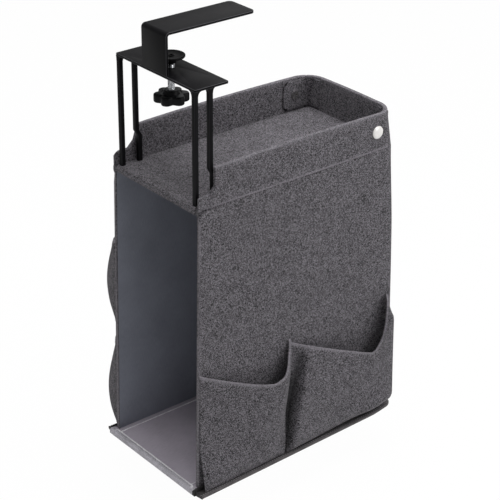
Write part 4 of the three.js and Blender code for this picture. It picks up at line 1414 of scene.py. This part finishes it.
class STORAGEBOX_OT_pockets(bpy.types.Operator):
    """Sews the bellied pockets to the side walls"""

    bl_idname = "storage_box.pockets"
    bl_label = "Pockets"

    def execute(self, context):
        for name, sizes in POCKETS.items():
            outside, inside = pocket_faces(name)
            uv = surface_lengths(outside).reshape(-1, 2)
            shape = shell(outside, inside)
            pocket = settle(f"{name}_cloth", shape, finish_of("cloth"), 50, np.concatenate([uv, uv]))
            # The hem along the rim is painted lighter: a painted highlight
            rim = np.zeros(outside.shape[:2])
            rim[-1] = HEM_LIGHT
            mark(pocket, "edge", np.concatenate([rim.ravel(), rim.ravel()]))
            # Painted shade beside the rear pocket's slanting fold, on the outer face only
            mark(pocket, "hollow", np.concatenate([pocket_painted_shade(**sizes).ravel(), 0 * rim.ravel()]))
            seated(pocket, BODY, "melange_cloth", name)
            cells = np.cross(np.diff(outside, axis=0)[:, :-1], np.diff(outside, axis=1)[:-1])
        return {"FINISHED"}


# Snaps, tabs and boards


class STORAGEBOX_OT_snaps(bpy.types.Operator):
    """Makes the snap fasteners and the cloth tabs that carry their studs"""

    bl_idname = "storage_box.snaps"
    bl_label = "Snaps and tabs"

    def execute(self, context):
        for side, sign in SIDES.items():
            self.cap(side, sign, *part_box(f"{side}_snap_cap"))
            self.tab(side, sign, *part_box(f"{side}_corner_tab"))
            for part in ("snap_socket", "snap_stud"):
                frame["nodes"][f"{side}_{part}"].material_slots[0].material = finish_of("snap_metal")
        return {"FINISHED"}

    def cap(self, side, sign, low, high):
        """The domed cap on the flap's outside, with its barrel through the cloth."""
        y, z = (low.y + high.y) / 2, (low.z + high.z) / 2
        radius = (high.y - low.y) / 2
        height, barrel, barrel_end = 3.5 * MM, 2.5 * MM, -3 * MM
        profile = [
            (0, barrel_end), (barrel, barrel_end), (barrel, 0), (radius - 0.3 * MM, 0), (radius, 0.25 * MM)]
        for a in np.linspace(0, math.pi / 2 - 0.06, 12):
            profile.append((radius * math.cos(a) ** 0.9, height * (0.18 + 0.82 * math.sin(a))))
        profile.append((0, height))

        def place(r, h, angle):
            return (sign * (OUTER + h), y + r * math.cos(angle), z + r * math.sin(angle))

        cap = settle(f"{side}_snap_dome", lathe(profile, 48, place), finish_of("snap"), 50)
        seated(cap, f"{side}_flap", "snap_metal", f"{side}_snap_cap")

    def tab(self, side, sign, low, high):
        """The tab, turned round the corner inside the back wall, with the corners of its free end rounded."""
        skin, turn, corner, step = 1.5 * MM, 5 * MM, 8 * MM, 4 * MM
        inner, face = sorted((abs(low.x), abs(high.x)))
        plan = [(face, y) for y in spaced(low.y, high.y - turn, step)]
        plan += arc((face - turn, high.y - turn), turn, 0, math.pi / 2, 7)[1:]
        plan += [(x, high.y) for x in spaced(face - turn, inner, step)[1:]]
        run = directions(np.array(plan))
        inward = np.stack([-run[:, 1], run[:, 0]], 1)
        grids = []
        for offset in (0, skin):
            line = np.array(plan) + inward * offset
            rows = []
            for z in spaced(low.z, high.z, 5 * MM):
                near = corner - min(corner, z - low.z, high.z - z)
                cut = corner - math.sqrt(max(corner**2 - near**2, 0))
                rows.append([(x, y + cut * (k == 0), z) for k, (x, y) in enumerate(line)])
            grids.append(np.array(rows))
        shape = shell(*grids)
        round_edges(shape, 0.4 * MM, 2, None, 60)
        handed(shape, sign)
        tab = settle(f"{side}_tab_cloth", shape, finish_of("cloth"))
        seated(tab, BODY, "melange_cloth", f"{side}_corner_tab")


class STORAGEBOX_OT_boards(bpy.types.Operator):
    """Puts the stiffening boards inside the cloth"""

    bl_idname = "storage_box.boards"
    bl_label = "Boards"

    def execute(self, context):
        edge, step = 2 * MM, 15 * MM
        front = FRONT + 10 * MM
        wall_end, flap_end = SIDE_END - 2 * MM, SIDE_END - 16 * MM
        foot, floor = BASE_TOP + SEAM, NOTCH_FLOOR["right"]
        wall = [
            (front, foot), (wall_end, foot), (wall_end, FOLD - step), (flap_end, FOLD - edge),
            (front + step, FOLD - edge), (front, FOLD - step)]
        flap = [
            (front, FOLD + edge), (flap_end, FOLD + edge), (flap_end, RIM - edge),
            (NOTCH_END + step, RIM - edge), (NOTCH_END + step, RIM - step),
            (NOTCH_END + edge, floor + NOTCH_SLOPE), (NOTCH_END - NOTCH_SLOPE + edge, floor - edge),
            (front, floor - edge)]
        low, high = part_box("right_flap_board")
        for side, sign in SIDES.items():
            for part, body, outline in (("wall", BODY, wall), ("flap", f"{side}_flap", flap)):
                faces = [leaned([(x, y, z) for y, z in outline]) for x in (low.x, high.x)]
                shape = loft([face * np.array([sign, 1, 1]) for face in faces])
                board = settle(f"{side}_{part}_stiffener", shape, finish_of("board"))
                seated(board, body, "stiff_board", f"{side}_{part}_board")
        zs = spaced(foot, RIM - edge, 20 * MM)
        outside, inside = (self.back_face(OUTER - x, zs) for x in (high.x, low.x))
        board = settle("back_stiffener", shell(outside, inside), finish_of("board"))
        seated(board, BODY, "stiff_board", "back_wall_board")
        for name in ("shelf_board", "base_board"):
            frame["nodes"][name].material_slots[0].material = finish_of("board")
        return {"FINISHED"}

    def back_face(self, inset, zs):
        """One face of the back wall's board, set in from the wall's outside."""
        plan = np.array([back_plan(inset, z)[2:-2] for z in zs])
        height = np.broadcast_to(np.array(zs)[:, None], plan.shape[:2])
        return leaned(np.concatenate([plan, height[..., None]], -1))


# Stitches


def stitch_tree():
    """A tree that sets stitches along the edges of a mesh."""
    tree, given, identifiers = sized_tree("stitches", Pitch="Float", Length="Float", Width="Float")
    path = tree.node("GeometryNodeMeshToCurve", None, {0: given["Geometry"]})
    points = tree.node(
        "GeometryNodeCurveToPoints", {"mode": "LENGTH"}, {0: path.outputs[0], "Length": given["Pitch"]})
    turn = tree.node(
        "FunctionNodeAlignRotationToVector", {"axis": "Z"}, {"Vector": points.outputs["Tangent"]})
    bead = tree.node("GeometryNodeMeshUVSphere", None, {"Segments": 6, "Rings": 5, "Radius": 0.5})
    size = tree.node("ShaderNodeCombineXYZ", None, {0: given["Width"], 1: given["Width"], 2: given["Length"]})
    placed = tree.node("GeometryNodeInstanceOnPoints", None, {
        "Points": points.outputs[0], "Instance": bead.outputs[0], "Rotation": turn.outputs[0],
        "Scale": size.outputs[0]})
    end_tree(tree, placed, given["Finish"])
    return tree, identifiers


def path_mesh(name, paths):
    """A mesh of open lines, one for each path of points."""
    points, edges = [], []
    for path in paths:
        start = len(points)
        points += [tuple(p) for p in path]
        edges += [(start + k, start + k + 1) for k in range(len(path) - 1)]
    mesh = bpy.data.meshes.new(name)
    mesh.from_pydata(points, edges, [])
    return mesh


class STORAGEBOX_OT_stitches(bpy.types.Operator):
    """Sews along the bindings, the base's border and the pockets' hems and ends"""

    bl_idname = "storage_box.stitches"
    bl_label = "Stitches"

    def execute(self, context):
        looks = context.scene.storage_box_looks
        tree, identifiers = stitch_tree()
        half = TAPE_HIGH.x - RIGHT_WRAP - 3 * MM
        row = TAPE_LOW.y + FRONT_LAP - 2.6 * MM
        front_row = np.array([(x, row, TAPE_HIGH.z) for x in spaced(-half, half, BASE_STEP)])
        binding_row = binding_path(3.1 * MM, BINDING_LOW + LIP_TILT + 3.9 * MM, True)
        hems, ends = [], []
        for name in POCKETS:
            outside = pocket_faces(name)[0]
            hems.append(outside[-4, 1:-1])
            ends += [outside[2:-1, 1], outside[2:-1, -2]]
        rows = {
            "pale_stitches": ("pale_thread", [binding_row, front_row], "dark_tape"),
            "dark_stitches": ("dark_thread", hems + ends, "melange_cloth"),
        }
        for name, (finish, paths, slot) in rows.items():
            piece = grown(name, path_mesh(name, paths), tree, identifiers, {
                "Pitch": looks.stitch_pitch, "Length": looks.stitch_length, "Width": looks.stitch_width,
                "Finish": finish_of(finish)})
            seated(piece, BODY, slot)
        return {"FINISHED"}


# Stage


def angle_setting(name, description, degrees):
    """An angle that a user may change."""
    return FloatProperty(name=name, description=description, default=math.radians(degrees), unit="ROTATION")


def amount_setting(name, description, default, unit="NONE", least=0):
    """An amount that a user may change."""
    return FloatProperty(name=name, description=description, default=default, min=least, unit=unit)


class StorageBoxStage(bpy.types.PropertyGroup):
    """Camera, floor and light of the studio."""

    azimuth: angle_setting("Azimuth", "Turn of the camera round the box from its open front", 50.46)
    elevation: angle_setting("Elevation", "Angle of the camera above the horizon", 27.24)
    roll: angle_setting("Roll", "Tilt of the camera", 0.53)
    distance: amount_setting(
        "Distance", "Distance of the camera from the middle of the box", 1.91346, "LENGTH", 0.1)
    lens: amount_setting("Lens", "Focal length for a 36 mm sensor", 115.88, "CAMERA", 1)
    floor_gap: amount_setting("Floor gap", "Room between the hanging box and the floor", 0.05, "LENGTH")
    world_light: amount_setting("World light", "Strength of the even light from all round", 0.36)
    key_light: amount_setting("Key light", "Power of the large lamp at the right", 8.5, "POWER")
    over_light: amount_setting("Overhead light", "Power of the lamp straight above", 22.5, "POWER")
    back_light: amount_setting("Back light", "Power of the lamp above and behind the left", 3.6, "POWER")


class STORAGEBOX_OT_stage(bpy.types.Operator):
    """Sets the camera, the pale floor and the soft studio light"""

    bl_idname = "storage_box.stage"
    bl_label = "Stage"

    def execute(self, context):
        stage = context.scene.storage_box_stage
        context.scene.view_settings.view_transform = "Standard"
        self.camera(context, stage)
        self.floor(stage)
        self.world(context, stage)
        middle = Vector((0, 0.12, -0.3))
        for name, way, size, power in (
                ("key_lamp", (1.2, 0.55, 0.75), 0.9, stage.key_light),
                ("overhead_lamp", (0.1, 0.0, 1.5), 1.2, stage.over_light),
                ("back_lamp", (-0.9, 1.1, 1.0), 1.0, stage.back_light)):
            self.lamp(name, middle + Vector(way), middle, size, power)
        return {"FINISHED"}

    def camera(self, context, stage):
        """The camera, turned round the middle of the box and then moved aside to frame it."""
        centre, aside, down = Vector((0, 0.107, -0.246)), 0.00532, 0.05362
        a, e, r = stage.azimuth, stage.elevation, stage.roll
        back = Vector((math.sin(a) * math.cos(e), -math.cos(a) * math.cos(e), math.sin(e)))
        level = Vector((math.cos(a), math.sin(a), 0))
        rise = back.cross(level)
        right = level * math.cos(r) + rise * math.sin(r)
        up = rise * math.cos(r) - level * math.sin(r)
        data = bpy.data.cameras.new("camera")
        data.sensor_width = 36
        data.lens = stage.lens
        camera = bpy.data.objects.new("camera", data)
        place = centre + right * aside - up * down + back * stage.distance
        camera.matrix_world = Matrix.Translation(place) @ Matrix((right, up, back)).transposed().to_4x4()
        context.scene.collection.objects.link(camera)
        context.scene.camera = camera

    def floor(self, stage):
        """The pale floor, white to the camera and in reflections but for a little of its shade."""
        finish = Finish("pale_floor")
        tone = finish.noise(finish.space(), 3, 2)
        greys = [(0.3, (0.86, 0.86, 0.86)), (0.7, (0.88, 0.88, 0.88))]
        finish.set(Base_Color=finish.ramp(tone, greys), Roughness=0.9, Specular_IOR_Level=0.2)
        path = finish.node("ShaderNodeLightPath").outputs
        rays = ("Is Camera Ray", "Is Glossy Ray", "Is Transmission Ray")
        camera, glossy, through = (Value(finish, path[ray]) for ray in rays)
        white = finish.node("ShaderNodeEmission", None, {"Color": (1, 1, 1, 1), "Strength": 1.0})
        share = (camera + glossy + through) * 0.98
        mixed = finish.node(
            "ShaderNodeMixShader", None, {0: share, 1: finish.shader.outputs[0], 2: white.outputs[0]})
        finish.feed(finish.tree.nodes["Material Output"].inputs["Surface"], mixed.outputs[0])
        size = 6.0
        z = CAD_BOX[0].z - stage.floor_gap
        corners = [(-size, -size, z), (size, -size, z), (size, size, z), (-size, size, z)]
        floor = settle("floor", bmesh_of(corners, [[0, 1, 2, 3]]), finish.material)

    def world(self, context, stage):
        """Even light from all round, and white where the camera sees past the floor."""
        world = bpy.data.worlds.new("studio")
        context.scene.world = world
        world.use_nodes = True
        world.node_tree.nodes.clear()
        studio = Tree(world.node_tree)
        path = studio.node("ShaderNodeLightPath").outputs
        rays = {0: path["Is Camera Ray"], 1: path["Is Transmission Ray"]}
        seen = studio.node("ShaderNodeMath", {"operation": "MAXIMUM"}, rays)
        even, white = (
            studio.node("ShaderNodeBackground", None, {"Color": (1, 1, 1, 1), "Strength": strength})
            for strength in (stage.world_light, 1.0))
        mixed = studio.node(
            "ShaderNodeMixShader", None, {0: seen.outputs[0], 1: even.outputs[0], 2: white.outputs[0]})
        studio.node("ShaderNodeOutputWorld", None, {"Surface": mixed.outputs[0]})

    def lamp(self, name, place, target, size, power):
        """A round soft lamp that looks at a target."""
        data = bpy.data.lights.new(name, "AREA")
        data.shape = "DISK"
        data.size = size
        data.energy = power
        lamp = bpy.data.objects.new(name, data)
        lamp.location = place
        lamp.rotation_euler = (target - place).to_track_quat("-Z", "Y").to_euler()
        bpy.context.scene.collection.objects.link(lamp)


OPERATORS = (
    STORAGEBOX_OT_stage,
    STORAGEBOX_OT_clamp,
    STORAGEBOX_OT_frame_bars,
    STORAGEBOX_OT_screw,
    STORAGEBOX_OT_side_panels,
    STORAGEBOX_OT_back_panel,
    STORAGEBOX_OT_shelf,
    STORAGEBOX_OT_bay_linings,
    STORAGEBOX_OT_base,
    STORAGEBOX_OT_pockets,
    STORAGEBOX_OT_snaps,
    STORAGEBOX_OT_boards,
    STORAGEBOX_OT_stitches,
)


class STORAGEBOX_PT_panel(bpy.types.Panel):
    """Lists the box's settings and the steps that dress it"""

    bl_idname = "STORAGEBOX_PT_panel"
    bl_label = "Storage box"
    bl_space_type = "VIEW_3D"
    bl_region_type = "UI"
    bl_category = "Storage box"

    def draw(self, context):
        for settings in (context.scene.storage_box_looks, context.scene.storage_box_stage):
            for name in settings.__annotations__:
                self.layout.prop(settings, name)
        for operator in OPERATORS:
            self.layout.operator(operator.bl_idname)


CLASSES = (StorageBoxLooks, StorageBoxStage, *OPERATORS, STORAGEBOX_PT_panel)


def register():
    for each in CLASSES:
        bpy.utils.register_class(each)
    bpy.types.Scene.storage_box_looks = PointerProperty(type=StorageBoxLooks)
    bpy.types.Scene.storage_box_stage = PointerProperty(type=StorageBoxStage)


def unregister():
    del bpy.types.Scene.storage_box_stage
    del bpy.types.Scene.storage_box_looks
    for each in reversed(CLASSES):
        bpy.utils.unregister_class(each)


def main():
    register()
    for operator in OPERATORS:
        group, name = operator.bl_idname.split(".")
        getattr(getattr(bpy.ops, group), name)()


if __name__ == "__main__":
    main()
